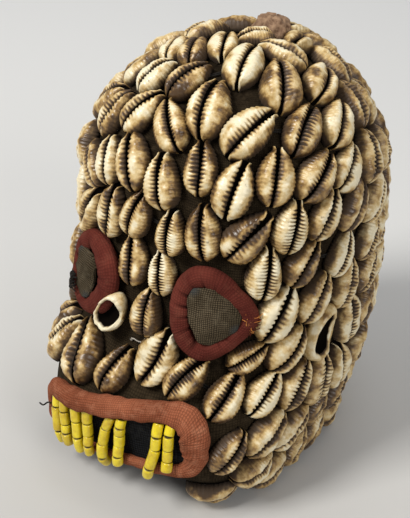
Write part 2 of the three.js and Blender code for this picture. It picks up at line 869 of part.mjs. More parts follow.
// A shell as a facetted egg shape with the slit along its top, or plainer on the back of the head
const FULL_EDGE = [
  [-0.5, 0],
  [-0.36, 0.215],
  [-0.05, 0.315],
  [0.27, 0.205],
  [0.49, 0],
  [0.27, -0.205],
  [-0.05, -0.315],
  [-0.36, -0.215],
];
const FULL_TOP = [
  [-0.22, 0.15, 0.98],
  [0.2, 0.11, 0.86],
  [-0.22, -0.15, 0.98],
  [0.2, -0.11, 0.86],
  [-0.3, 0, 0.55],
  [0.3, 0, 0.5],
];
const FULL_FACES = [
  [0, 13, 9],
  [0, 9, 1],
  [1, 9, 2],
  [2, 9, 10],
  [2, 10, 3],
  [3, 10, 4],
  [4, 10, 14],
  [13, 14, 10],
  [13, 10, 9],
  [0, 11, 13],
  [0, 7, 11],
  [7, 6, 11],
  [6, 12, 11],
  [6, 5, 12],
  [5, 4, 12],
  [4, 14, 12],
  [13, 12, 14],
  [13, 11, 12],
];
const PLAIN_EDGE = [
  [-0.5, 0],
  [-0.25, 0.28],
  [0.2, 0.23],
  [0.49, 0],
  [0.2, -0.23],
  [-0.25, -0.28],
];
const PLAIN_TOP = [
  [-0.2, 0, 0.98],
  [0.2, 0, 0.9],
];
const PLAIN_FACES = [
  [0, 7, 1],
  [1, 7, 8],
  [1, 8, 2],
  [2, 8, 3],
  [0, 5, 7],
  [5, 8, 7],
  [5, 4, 8],
  [4, 3, 8],
];
function shellFrame(shell) {
  const f = frameAt(shell.phi, shell.v);
  const axis = add(mul(f.rise, Math.cos(shell.lean)), mul(f.side, Math.sin(shell.lean)));
  return { f, axis, wide: cross(f.n, axis) };
}
function isPlain(shell) {
  return shell.phi > PLAIN_FROM * RAD || shell.phi < -PLAIN_FAR_FROM * RAD;
}
// The points and faces of one shell. Its edge comes first, then the middle of its underside, then its top.
function shellMesh(shell) {
  const { f, axis, wide } = shellFrame(shell);
  const plain = isPlain(shell);
  const edge = plain ? PLAIN_EDGE : FULL_EDGE;
  const top = plain ? PLAIN_TOP : FULL_TOP;
  const faces = (plain ? PLAIN_FACES : FULL_FACES).map((face) => face.slice());
  const broad = shell.width / SHELL_SLIMNESS;
  const points = [];
  const at = (u, w, h) => onCloth(f, u * shell.length, w * broad, axis, wide, h);
  for (const [u, w] of edge) points.push(at(u, w, SHELL_BASE_GAP));
  points.push(at(0, 0, SHELL_BASE_GAP));
  for (const [u, w, h] of top) points.push(at(u, w, h * shell.rise));
  const n = edge.length;
  for (let j = 0; j < n; j++) faces.push([n, j, (j + 1) % n]);
  return { points, faces, edge, f, axis, wide, used: new Set() };
}
// Opens the side of a shell that faces its neighbour, low down, for the thread that ties them together.
function openSide(shell, other) {
  const way = sub(other.f.p, shell.f.p);
  const u = dot(way, shell.axis);
  const w = dot(way, shell.wide);
  const n = shell.edge.length;
  let best = -1;
  let bestScore = -Infinity;
  for (let j = 0; j < n; j++) {
    if (shell.used.has(j)) continue;
    const a = shell.edge[j];
    const b = shell.edge[(j + 1) % n];
    const score = (a[0] + b[0]) * u + 1.6 * (a[1] + b[1]) * w;
    if (score > bestScore) {
      best = j;
      bestScore = score;
    }
  }
  shell.used.add(best);
  const next = (best + 1) % n;
  const meets = (face) => face.includes(best) && face.includes(next) && !face.includes(n);
  const k = shell.faces.findIndex(meets);
  const third = shell.faces[k].find((x) => x !== best && x !== next);
  const first = shell.faces[k][(shell.faces[k].indexOf(third) + 1) % 3];
  const second = shell.faces[k][(shell.faces[k].indexOf(third) + 2) % 3];
  const knot = shell.points.length;
  const mix = THREAD_RISE / shell.rise;
  shell.points.push(
    add(
      mul(add(shell.points[first], shell.points[second]), (1 - mix) / 2),
      mul(shell.points[third], mix),
    ),
  );
  shell.faces.splice(k, 1, [second, third, knot], [third, first, knot]);
  return [first, second, knot];
}
// A row of shells tied to each other, as one body
function makeShellGroup(shells, ring) {
  const order = shells.slice().sort((a, b) => a.order - b.order);
  const meshes = order.map((shell) => ({ ...shellMesh(shell), rise: shell.rise }));
  const ties = [];
  const count = ring ? order.length : order.length - 1;
  for (let i = 0; i < count; i++) {
    const a = meshes[i];
    const b = meshes[(i + 1) % order.length];
    ties.push([a, openSide(a, b), b, openSide(b, a)]);
  }
  const points = [];
  const triangles = [];
  for (const mesh of meshes) {
    mesh.start = points.length;
    points.push(...mesh.points);
    for (const face of mesh.faces) triangles.push(face.map((k) => k + mesh.start));
  }
  for (const [a, [p, q, m], b, [r, s, t]] of ties) {
    const near = [p, q, m].map((k) => k + a.start);
    const far = [s, r, t].map((k) => k + b.start);
    for (let j = 0; j < 3; j++) {
      const k = (j + 1) % 3;
      triangles.push([near[j], near[k], far[k]], [near[j], far[k], far[j]]);
    }
  }
  return solid(points, triangles);
}

// The two broken shells are open at the top, with a hollow where the roof has gone.
function makeBrokenShell(shell) {
  const { f, axis, wide } = shellFrame(shell);
  const broad = shell.width / SHELL_SLIMNESS;
  const n = FULL_EDGE.length;
  const at = (u, w, h) => onCloth(f, u * shell.length, w * broad, axis, wide, h);
  const base = FULL_EDGE.map(([u, w]) => at(u, w, SHELL_BASE_GAP));
  const low = (i) => i === 2 || i === 3;
  const lip = FULL_EDGE.map(([u, w], i) => at(0.84 * u, 0.84 * w, shell.rise * (low(i) ? 0.5 : 0.8)));
  const inner = FULL_EDGE.map(([u, w], i) => at(0.62 * u, 0.6 * w, shell.rise * (low(i) ? 0.46 : 0.74)));
  const floor = FULL_EDGE.map(([u, w]) => at(0.45 * u, 0.45 * w, 0.28 * shell.rise));
  const rings = [base, lip, inner, floor].map((ring) => ring.slice().reverse());
  return ringSolid(rings, false);
}

// A hard knot of cloth and resin at the crown
function makeLump() {
  const f = frameAt(CROWN_LUMP.angle * RAD, CROWN_LUMP.height);
  const rings = [
    [1, SHELL_BASE_GAP],
    [1.02, 0.45 * CROWN_LUMP.rise],
    [0.62, 0.9 * CROWN_LUMP.rise],
  ];
  const sides = 9;
  const points = rings.map(([share, h], r) => {
    const ring = [];
    for (let j = 0; j < sides; j++) {
      const t = (2 * Math.PI * j) / sides;
      const wobble = 0.92 + 0.16 * chance(j + 31 * r + 7);
      const a = CROWN_LUMP.radius * share * wobble;
      ring.push(onCloth(f, a * Math.cos(t), 0.84 * a * Math.sin(t), f.side, f.rise, h));
    }
    return ring;
  });
  return ringSolid(points, false);
}

// Assembly
const root = new THREE.Group();
root.name = "crest_mask";
function keep(name, form, colour, roughness) {
  const body = form.getMesh();
  const geometry = new THREE.BufferGeometry();
  geometry.setAttribute("position", new THREE.BufferAttribute(new Float32Array(body.vertProperties), 3));
  geometry.setIndex(new THREE.BufferAttribute(new Uint32Array(body.triVerts), 1));
  geometry.computeVertexNormals();
  const material = new THREE.MeshStandardMaterial({ color: colour, roughness, metalness: 0 });
  const mesh = new THREE.Mesh(geometry, material);
  mesh.name = name;
  root.add(mesh);
}

keep("hood", makeHood(), CLOTH_COLOUR, 0.95);
keep("right_eye_ring", makeEyeRoll(RIGHT_EYE), EYE_ROLL_COLOUR, 0.9);
keep("left_eye_ring", makeEyeRoll(LEFT_EYE), EYE_ROLL_COLOUR, 0.9);
keep("right_eye_cloth", makeEyeCloth(RIGHT_EYE), EYE_CLOTH_COLOUR, 0.95);
keep("left_eye_cloth", makeEyeCloth(LEFT_EYE), EYE_CLOTH_COLOUR, 0.95);
keep("mouth_roll", makeMouthRoll(), MOUTH_COLOUR, 0.9);
keep("mouth_cloth", makeMouthCloth(), MOUTH_CLOTH_COLOUR, 0.95);
for (const spec of TOOTH_STRINGS) keep(spec.name, makeToothString(spec), BEAD_COLOUR, 0.35);
const shells = settle(placeShells());
for (const row of SHELL_ROWS) {
  const members = shells.filter((s) => s.group === row.name);
  keep(row.name, makeShellGroup(members, row.far.length === 0), SHELL_COLOUR, 0.4);
}
for (const group of FACE_GROUPS) {
  keep(group.name, makeShellGroup(shells.filter((s) => s.group === group.name), false), SHELL_COLOUR, 0.4);
}
for (const spec of [BROKEN_NOSE_SHELL, BROKEN_SIDE_SHELL]) {
  keep(spec.name, makeBrokenShell(shells.find((s) => s.group === spec.name)), SHELL_COLOUR, 0.45);
}
keep(CROWN_LUMP.name, makeLump(), LUMP_COLOUR, 0.9);

export default root;
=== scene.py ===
# Crest mask: a cloth hood sewn all over with cowrie shells, with padded eye rings, a padded mouth
# and strings of glass beads for teeth. Lengths are in millimetres here and become metres in each mesh.
import math

import bpy
import numpy as np
from mathutils import Matrix, Vector


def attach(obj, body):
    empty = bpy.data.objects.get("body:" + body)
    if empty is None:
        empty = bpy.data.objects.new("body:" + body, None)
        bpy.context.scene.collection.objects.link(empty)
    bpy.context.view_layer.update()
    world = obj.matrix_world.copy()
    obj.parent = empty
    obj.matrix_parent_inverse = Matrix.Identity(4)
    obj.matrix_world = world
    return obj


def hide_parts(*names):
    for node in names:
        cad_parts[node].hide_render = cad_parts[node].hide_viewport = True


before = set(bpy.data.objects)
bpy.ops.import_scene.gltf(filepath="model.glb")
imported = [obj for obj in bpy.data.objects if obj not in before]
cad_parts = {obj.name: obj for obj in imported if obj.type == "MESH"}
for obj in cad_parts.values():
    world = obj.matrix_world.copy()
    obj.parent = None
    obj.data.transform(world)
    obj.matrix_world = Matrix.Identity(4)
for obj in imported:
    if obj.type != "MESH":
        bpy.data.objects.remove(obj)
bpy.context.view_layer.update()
RAD = math.pi / 180
MM = 0.001

# Hood
HOOD_HEIGHT = 190.5
HOOD_WALL = 3
HOOD_MIDDLE = 5.2
DOME_START = 108.6
DOME_POWER = 2.07
BACK_POWER = 1.75
SECTION_HEIGHTS = [0, 8, 22, 42, 66, 91, 116, 147, 190]
FRONT_REACH = [66, 79, 92, 93.5, 75.5, 73, 67, 68.5, 68.5]
SIDE_REACH = [52, 53.5, 55.5, 60, 62.5, 62.5, 62.5, 68, 66]
BACK_REACH = [44, 46, 53, 63, 78, 84, 79, 74, 78]
FRONT_POWER_HEIGHTS = [0, 61, 98, 139, 190]
FRONT_POWER = [6, 2.5, 2.35, 2.5, 2.65]

# Eyes
EYE_ROLL_RADIUS = 4.4
# The ring is an oval with three soft corners, one of them drawn out to a tip, and may spread at one side.
# Each cloth patch is cut by hand: its corners lie along and up from the middle of the ring.
LEFT_EYE = {
    "name": "left", "sign": 1, "angle": 23.9, "height": 93, "half_width": 13.8, "half_height": 16.4,
    "corners": 0.085, "tip": 0.09, "spread": 0.0, "patch_rise": 7.9,
    "patch": [
        (-10, 6.5), (-8, 12), (2.5, 13.4), (8.8, 8.8), (14, 1.8),
        (12.4, -5), (1.5, -13), (-4, -12), (-8.6, -2.5),
    ],
}
RIGHT_EYE = {
    "name": "right", "sign": -1, "angle": -23.2, "height": 91.5, "half_width": 13.4, "half_height": 15.2,
    "corners": 0.04, "tip": 0.0, "spread": 1.9, "patch_rise": 8.1,
    "patch": [
        (-13, 3), (-9.5, 11), (0.5, 10.5), (6, 6),
        (6.4, -3), (2.5, -10.5), (-5, -13), (-12, -6),
    ],
}

# Mouth
MOUTH_HEIGHT = 32.3
MOUTH_LEAN = 9.3
MOUTH_HALF_WIDTH = 41.4
MOUTH_HALF_HEIGHT = 12.7
MOUTH_CORNER = 10
UPPER_LIP_RADIUS = 4.8
LOWER_LIP_RADIUS = 2.8
LIP_FLATNESS = 0.78

# Teeth: where each string leaves the upper lip, where it meets the lower one, its number of beads, and how
# far down it ends.
TOOTH_STRINGS = [
    ("tooth_string_1", -33.4, -32.6, 3, -10.5),
    ("tooth_string_2", -28, -27.4, 4, -10),
    ("tooth_string_3", -20.2, -20.4, 3, -11),
    ("tooth_string_4", -13.2, -14.2, 4, -11),
    ("tooth_string_5", 1, -4.6, 4, -13.8),
    ("tooth_string_6", 6.4, 3.4, 5, -12),
    ("tooth_string_7", 24.2, 19.2, 4, -14),
    ("tooth_string_8", 29.4, 27.8, 4, -10),
]
BEAD_RADIUS = 2.45

# Shells
SHELL_LENGTH = 25.4
SHELL_LENGTH_SPREAD = 2.2
SHELL_SLIMNESS = 0.63
SHELL_SLIMNESS_SPREAD = 0.03
SHELL_RISE = 8
SHELL_SPACE = 0.4
ZIGZAG = 3
THREAD_SPACE = 6
DISC_HEIGHT = 1.3
ROW_BLEND = 0.2
SETTLE_ROUNDS = 190
GROWTH_ROUNDS = 12
GROWTH_LIMIT = 1.09
GROWTH_OVERLAP = 0.35

# Rows of shells round the hood: name, height, distance between shells, lean, near shells and far shells.
# Near and far shells have their own places: angle, height, lean and size. The row runs on evenly round the
# back, from the last near shell to the first far one.
SHELL_ROWS = [
    (
        "rim_shells", 12, 20, 60,
        [(30, 9.5, 84, 0.9), (38, 19, 80, 1.05), (47, 9.5, 86, 1)],
        [(-50, 14, -50, 1)],
    ),
    (
        "jaw_shells", 32, 20, 30,
        [(31, 35, 38, 0.88), (42, 37, 54, 1.02), (54, 30, 66, 1), (67, 26, 14, 0.9)],
        [(-48, 32, -24, 1)],
    ),
    (
        "cheek_shells", 51, 20, 30,
        [(40, 55, 38, 1), (53, 52, 34, 0.96), (69, 47, 8, 1.04), (83, 41, -6, 1.06)],
        [(-43, 51, 26, 1.05), (-31, 52, 16, 1)],
    ),
    ("low_side_shells", 71, 20, 28, [(83, 70, 0, 1)], [(-46, 72, -14, 1)]),
    ("side_shells", 92, 20, 28, [(62, 97, 32, 1), (80, 95, 20, 0.95)], [(-46, 93, -16, 1)]),
    (
        "brow_shells", 111, 20, 28,
        [(39, 112, 6, 1), (55, 115, 32, 0.96), (74, 113, 26, 0.9)],
        [(-54, 109, -10, 1)],
    ),
    (
        "forehead_shells", 130, 19.6, 28,
        [
            (-33, 116, 24, 1.05), (-20, 123, 4, 0.9), (-10, 129, 14, 1), (6, 123, 0, 0.9),
            (18, 130, -6, 1), (34, 133, 40, 1.02), (47, 133, 10, 1), (64, 135, 28, 0.94),
            (80, 134, 30, 0.94),
        ],
        [],
    ),
    (
        "upper_forehead_shells", 149, 19.6, 28,
        [
            (-36, 136, -42, 0.9), (-26, 144, -22, 0.92), (-14, 149, -26, 1), (2, 143, -14, 1.04),
            (16, 157, -6, 0.96), (28, 147, 16, 1.02), (44, 154, 10, 1), (59, 152, 44, 1),
            (76, 149, 48, 0.92),
        ],
        [],
    ),
    (
        "lower_crown_shells", 168, 19.6, 28,
        [
            (-52, 153, 26, 1), (-38, 164, 2, 0.9), (-22, 169, 18, 0.88), (-5, 167, -38, 0.98),
            (14, 183, 2, 1.12), (36, 171, 44, 1.12), (59, 175, 38, 1.04), (80, 168, 46, 1.04),
        ],
        [],
    ),
    (
        "crown_shells", 190, 19.6, 24,
        [
            (-58, 186, -20, 0.86), (-30, 190, 2, 0.86), (-9, 189, 18, 0.92), (22, 209, 16, 0.98),
            (54, 197, 16, 1.12), (90, 190, 60, 1),
        ],
        [],
    ),
]

# Shells sewn singly on the face: angle, height, lean and size
FACE_GROUPS = [
    ("nose_shells", [(-8, 108, -10, 0.84), (4.5, 102, -10, 0.88), (-2, 84, 2, 1.04)]),
    (
        "lip_shells",
        [(-18, 56, -28, 1.14), (-4, 58, 10, 0.94), (8, 73, 20, 1.08), (15, 59, 36, 1), (27, 54, 28, 0.95)],
    ),
    ("near_cheek_shells", [(46, 93, 28, 1.02), (50, 74, 42, 1.02)]),
    ("under_eye_shell", [(36, 70, 58, 0.84)]),
    (
        "crown_top_shells",
        [
            (-128, 212, -60, 1), (-92, 208, -70, 0.92), (-58, 205, -60, 0.86), (-31, 210, -46, 0.84),
            (-8, 218, -36, 0.82), (60, 230, -70, 0.76), (84, 211, -24, 0.95), (118, 213, -60, 0.92),
        ],
    ),
    ("broken_nose_shell", [(-14, 79, 26, 1)]),
    ("broken_side_shell", [(67, 74, 24, 1.05)]),
]
CROWN_LUMP = {"angle": 172, "height": 220, "radius": 8.4, "rise": 8}

V_TOP = DOME_START + (HOOD_HEIGHT - DOME_START) * math.pi / 2


def chance(n):
    # A repeatable number from 0 to 1 for each n.
    s = math.sin(n * 12.9898) * 43758.5453
    return s - math.floor(s)


def soft_step(x):
    x = np.clip(x, 0, 1)
    return x * x * (3 - 2 * x)


def dot(a, b):
    return np.sum(a * b, axis=-1)


def unit(a):
    return a / np.maximum(np.linalg.norm(a, axis=-1, keepdims=True), 1e-12)


def times(a, s):
    return a * np.asarray(s)[..., None]


def circle(count):
    # Angles evenly round a circle.
    return 2 * math.pi * np.arange(count) / count


def column(shells, key):
    return np.array([s[key] for s in shells])


def run_of(points):
    # How far along the line each of its points lies.
    return np.concatenate([[0], np.cumsum(np.linalg.norm(np.diff(points, axis=0), axis=-1))])


def smooth_curve(xs, ys):
    # A smooth curve through the knots that never overshoots them.
    xs = np.array(xs, float)
    ys = np.array(ys, float)
    h = np.diff(xs)
    d = np.diff(ys) / h
    m = np.zeros(len(xs))
    for i in range(1, len(xs) - 1):
        if d[i - 1] * d[i] > 0:
            w1 = 2 * h[i] + h[i - 1]
            w2 = h[i] + 2 * h[i - 1]
            m[i] = (w1 + w2) / (w1 / d[i - 1] + w2 / d[i])
    m[0] = d[0]
    m[-1] = d[-1]

    def value(x0):
        x = np.clip(x0, xs[0], xs[-1])
        i = np.clip(np.searchsorted(xs, x, side="left") - 1, 0, len(xs) - 2)
        t = (x - xs[i]) / h[i]
        t2 = t * t
        t3 = t2 * t
        return (
            ys[i] * (2 * t3 - 3 * t2 + 1)
            + m[i] * h[i] * (t3 - 2 * t2 + t)
            + ys[i + 1] * (3 * t2 - 2 * t3)
            + m[i + 1] * h[i] * (t3 - t2)
        )

    return value


front_reach = smooth_curve(SECTION_HEIGHTS, FRONT_REACH)
side_reach = smooth_curve(SECTION_HEIGHTS, SIDE_REACH)
back_reach = smooth_curve(SECTION_HEIGHTS, BACK_REACH)
front_power = smooth_curve(FRONT_POWER_HEIGHTS, FRONT_POWER)


def open_radius(phi, z):
    # The hood's reach from its middle, before the dome draws it in.
    c = np.cos(phi)
    s = np.abs(np.sin(phi))
    front = c > 0
    power = np.where(front, front_power(z), BACK_POWER)
    depth = np.where(front, front_reach(z), back_reach(z))
    return ((np.abs(c) / depth) ** power + (s / side_reach(z)) ** power) ** (-1 / power)


def surface(phi, v):
    # The cloth's outer surface. v is the height up to the dome, and runs on over the dome to the crown.
    phi, v = np.broadcast_arrays(np.asarray(phi, float), np.asarray(v, float))
    a = np.clip((v - DOME_START) / (HOOD_HEIGHT - DOME_START), 0, math.pi / 2)
    over = DOME_START + (HOOD_HEIGHT - DOME_START) * np.sin(a) ** (2 / DOME_POWER)
    z = np.where(v > DOME_START, over, v)
    dome = np.maximum(np.cos(a), 0) ** (2 / DOME_POWER)
    r = open_radius(phi, z) * dome
    return np.stack([r * np.sin(phi), HOOD_MIDDLE - r * np.cos(phi), z], axis=-1)


class Spot:
    # The surface at some angles and heights, with its outward normal and the directions round and up it.
    def __init__(self, phi, v):
        e = 1e-3
        self.p = surface(phi, v)
        self.along = (surface(phi + e, v) - surface(phi - e, v)) * (0.5 / e)
        top = np.minimum(np.asarray(v) + 0.05, V_TOP - 1e-6)
        self.up = (surface(phi, top) - surface(phi, top - 0.1)) * 10
        self.n = unit(np.cross(self.along, self.up))
        self.rise = unit(self.up - times(self.n, dot(self.up, self.n)))
        self.side = np.cross(self.rise, self.n)

    def cloth(self, a, b, h):
        return on_cloth(self.p, self.n, a, b, self.side, self.rise, h)

    def leaning(self, lean):
        # The way up the cloth, turned by an angle.
        return times(self.rise, np.cos(lean)) + times(self.side, np.sin(lean))


def level(q):
    # 1 on the cloth, less inside it and more outside.
    back = q[..., 1] - HOOD_MIDDLE
    r = np.hypot(q[..., 0], back)
    t = np.maximum(0, (q[..., 2] - DOME_START) / (HOOD_HEIGHT - DOME_START))
    share = r / open_radius(np.arctan2(q[..., 0], -back), q[..., 2])
    return (share**DOME_POWER + t**DOME_POWER) ** (1 / DOME_POWER)


def clearance(q):
    # How far a point lies outside the cloth.
    e = 0.02
    slopes = []
    for k in range(3):
        step = np.zeros(3)
        step[k] = e
        slopes.append((level(q + step) - level(q - step)) / (2 * e))
    return (level(q) - 1) / np.linalg.norm(np.stack(slopes, axis=-1), axis=-1)


def on_cloth(p, n, a, b, axis_a, axis_b, h):
    # A point of the cloth's local frame moved onto the cloth and lifted by h.
    q = p + times(axis_a, a) + times(axis_b, b)
    for _ in range(2):
        q = q - times(n, clearance(q))
    return q + times(n, h)


arc_tables = {}


def arc_table(v):
    # Lengths round the hood at one height, from its front.
    key = round(float(v), 3)
    if key not in arc_tables:
        angles = (np.arange(361) - 180) * RAD
        steps = np.linalg.norm(surface(angles[1:], v) - surface(angles[1:] - RAD, v), axis=-1)
        arcs = np.concatenate([[0], np.cumsum(steps)])
        arc_tables[key] = (angles, arcs - arcs[180], arcs[-1])
    return arc_tables[key]


def angle_at_arc(v, s):
    angles, arcs, around = arc_table(v)
    x = s
    while x > arcs[-1]:
        x -= around
    while x < arcs[0]:
        x += around
    return float(np.interp(x, arcs, angles))


def arc_at_angle(v, phi):
    angles, arcs, _ = arc_table(v)
    return float(np.interp(phi, angles, arcs))


# How firmly a shell keeps its place: one on the face, one in a row with its own place, and an even one
FACE_HOLD, PLACED_HOLD, EVEN_HOLD = 0.5, 0.3, 0.06
# How unevenly the even shells lie, in millimetres and degrees
PLACE_SCATTER = 2.4
LEAN_SCATTER = 26


def even_places(row, height, pitch, tilt, start, goal):
    # The even part of a row, which fades in and out of the heights of the shells at its ends.
    begin = arc_at_angle(height, start[0] * RAD)
    end = arc_at_angle(height, goal[0] * RAD) + arc_table(height)[2]
    count = max(0, math.floor((end - begin) / pitch + 0.5) - 1)
    places = []
    for i in range(1, count + 1):
        share = i / (count + 1)
        k = 100 * (row + 1) + i
        early = 1 - float(soft_step(share / ROW_BLEND))
        late = 1 - float(soft_step((1 - share) / ROW_BLEND))
        v = height + (start[1] - height) * early + (goal[1] - height) * late
        v += (ZIGZAG if i % 2 else -ZIGZAG) + PLACE_SCATTER * (chance(k + 0.3) - 0.5)
        arc = begin + (end - begin) * share + PLACE_SCATTER * (chance(k + 0.6) - 0.5)
        phi = angle_at_arc(height, arc)
        lean = tilt * math.sin(phi) + LEAN_SCATTER * (chance(k + 0.8) - 0.5)
        places.append((phi, v, lean, 1, EVEN_HOLD))
    return places


def place_shells():
    # Where every shell sits before they settle against each other.
    def own(places, hold):
        return [(angle * RAD, v, lean, size, hold) for angle, v, lean, size in places]

    groups = []
    for r, (name, height, pitch, tilt, near, far) in enumerate(SHELL_ROWS):
        even = even_places(r, height, pitch, tilt, near[-1], (far or near)[0])
        groups.append((name, own(near, PLACED_HOLD) + even + own(far, PLACED_HOLD)))
    groups += [(name, own(singles, FACE_HOLD)) for name, singles in FACE_GROUPS]
    shells = []
    for name, places in groups:
        for order, (phi, v, lean, size, hold) in enumerate(places):
            k = len(shells) + 1
            length = (SHELL_LENGTH + SHELL_LENGTH_SPREAD * (2 * chance(k) - 1)) * size
            width = length * (SHELL_SLIMNESS + SHELL_SLIMNESS_SPREAD * (2 * chance(k + 500) - 1))
            rise = SHELL_RISE * (0.92 + 0.16 * chance(k + 900)) * size
            shell = {"group": name, "order": order, "phi": phi, "v": v, "lean": lean * RAD, "hold": hold}
            shells.append({**shell, "length": length, "width": width, "rise": rise})
    return shells


# The discs that stand for a settling shell: their places along it and their radii, as shares of its length
DISC_ALONG = np.array([-0.24, 0.02, 0.28])
DISC_RADII = np.array([0.265, 0.315, 0.2])


def eye_spot(eye):
    return Spot(eye["angle"] * RAD, eye["height"])


def mouth_point(a, b, h):
    # A point of the mouth, along and up from its middle and above the cloth, with the cloth's normal there.
    lean = MOUTH_LEAN * RAD
    v = MOUTH_HEIGHT + a * math.sin(lean) + b * math.cos(lean)
    spot = Spot(angle_at_arc(v, a * math.cos(lean) - b * math.sin(lean)), v)
    return spot.p + spot.n * h, spot.n


def mouth_path(share):
    # The rounded outline that the lips follow, as a share of the way round.
    w = MOUTH_HALF_WIDTH - MOUTH_CORNER
    h = MOUTH_HALF_HEIGHT - MOUTH_CORNER
    arc = math.pi / 2 * MOUTH_CORNER
    s = (share % 1) * 4 * (w + h + arc)
    corner = (arc, None)
    left, top, right, bottom = (h, (1, 0)), (2 * w, (0, 1)), (2 * h, (-1, 0)), (2 * w, (0, -1))
    parts = [left, corner, top, corner, right, corner, bottom, corner, left]
    a, b, turn = MOUTH_HALF_WIDTH, 0.0, 0.0
    for length, out in parts:
        t = min(s, length)
        if out:
            a -= out[1] * t
            b += out[0] * t
            if s <= length:
                return a, b, out
        else:
            ca = a - MOUTH_CORNER * math.cos(turn)
            cb = b - MOUTH_CORNER * math.sin(turn)
            turn += t / MOUTH_CORNER
            a = ca + MOUTH_CORNER * math.cos(turn)
            b = cb + MOUTH_CORNER * math.sin(turn)
            if s <= length:
                return a, b, (math.cos(turn), math.sin(turn))
        s -= length
    return a, b, (1, 0)


def lip_radius(b):
    t = min(1, max(0, (b + MOUTH_HALF_HEIGHT) / (2 * MOUTH_HALF_HEIGHT)))
    return LOWER_LIP_RADIUS + (UPPER_LIP_RADIUS - LOWER_LIP_RADIUS) * t**0.7


def fixed_discs():
    # Round places that the shells keep clear of: the eyes, the mouth and the lump.
    centres, radii = [], []
    for eye in (RIGHT_EYE, LEFT_EYE):
        spot = eye_spot(eye)
        wide, tall = eye["half_width"], eye["half_height"]
        a = circle(24)
        centres += list(spot.cloth(wide * np.cos(a), tall * np.sin(a), DISC_HEIGHT + 0 * a))
        radii += [EYE_ROLL_RADIUS] * 24
        centres.append(spot.cloth(0.0, 0.0, DISC_HEIGHT))
        radii.append(0.8 * wide)
    for i in range(48):
        a, b, _ = mouth_path(i / 48)
        centres.append(mouth_point(a, b, DISC_HEIGHT)[0])
        radii.append(lip_radius(b))
    lump = Spot(CROWN_LUMP["angle"] * RAD, CROWN_LUMP["height"])
    centres.append(lump.p + lump.n * DISC_HEIGHT)
    radii.append(CROWN_LUMP["radius"])
    return np.array(centres), np.array(radii)


def row_ties(shells):
    # The pairs of neighbours that a thread ties together.
    closed = [name for name, *_, far in SHELL_ROWS if not far]
    ties = []
    for name in dict.fromkeys(s["group"] for s in shells):
        members = [i for i, s in enumerate(shells) if s["group"] == name]
        members.sort(key=lambda i: shells[i]["order"])
        count = len(members) if name in closed else len(members) - 1
        ties += [(members[i], members[(i + 1) % len(members)]) for i in range(count)]
    return ties


def overlap(d, reach):
    # How deep two discs cross that lie d apart, and the push that parts them.
    gap = np.maximum(np.linalg.norm(d, axis=-1), 1e-6)
    over = np.maximum(reach + SHELL_SPACE - gap, 0)
    return over, times(d, over / gap)


# How far apart two shells, or a shell and a thread, can still touch, and how low a shell may lie
SHELL_REACH = 34
THREAD_REACH = 20
LOWEST = 1.4
# How far a shell moves in one round, and how strongly it is drawn home until the last rounds
PUSH_SHARE = 0.45
PUSH_LIMIT = 1.5
HOME_PULL = 0.025
FREE_ROUNDS = 60
# The rounds in which a shell that is still crowded shrinks a little
SHRINK_FROM, SHRINK_EVERY, SHRINK_ABOVE, SHRINK = 80, 5, 0.35, 0.99


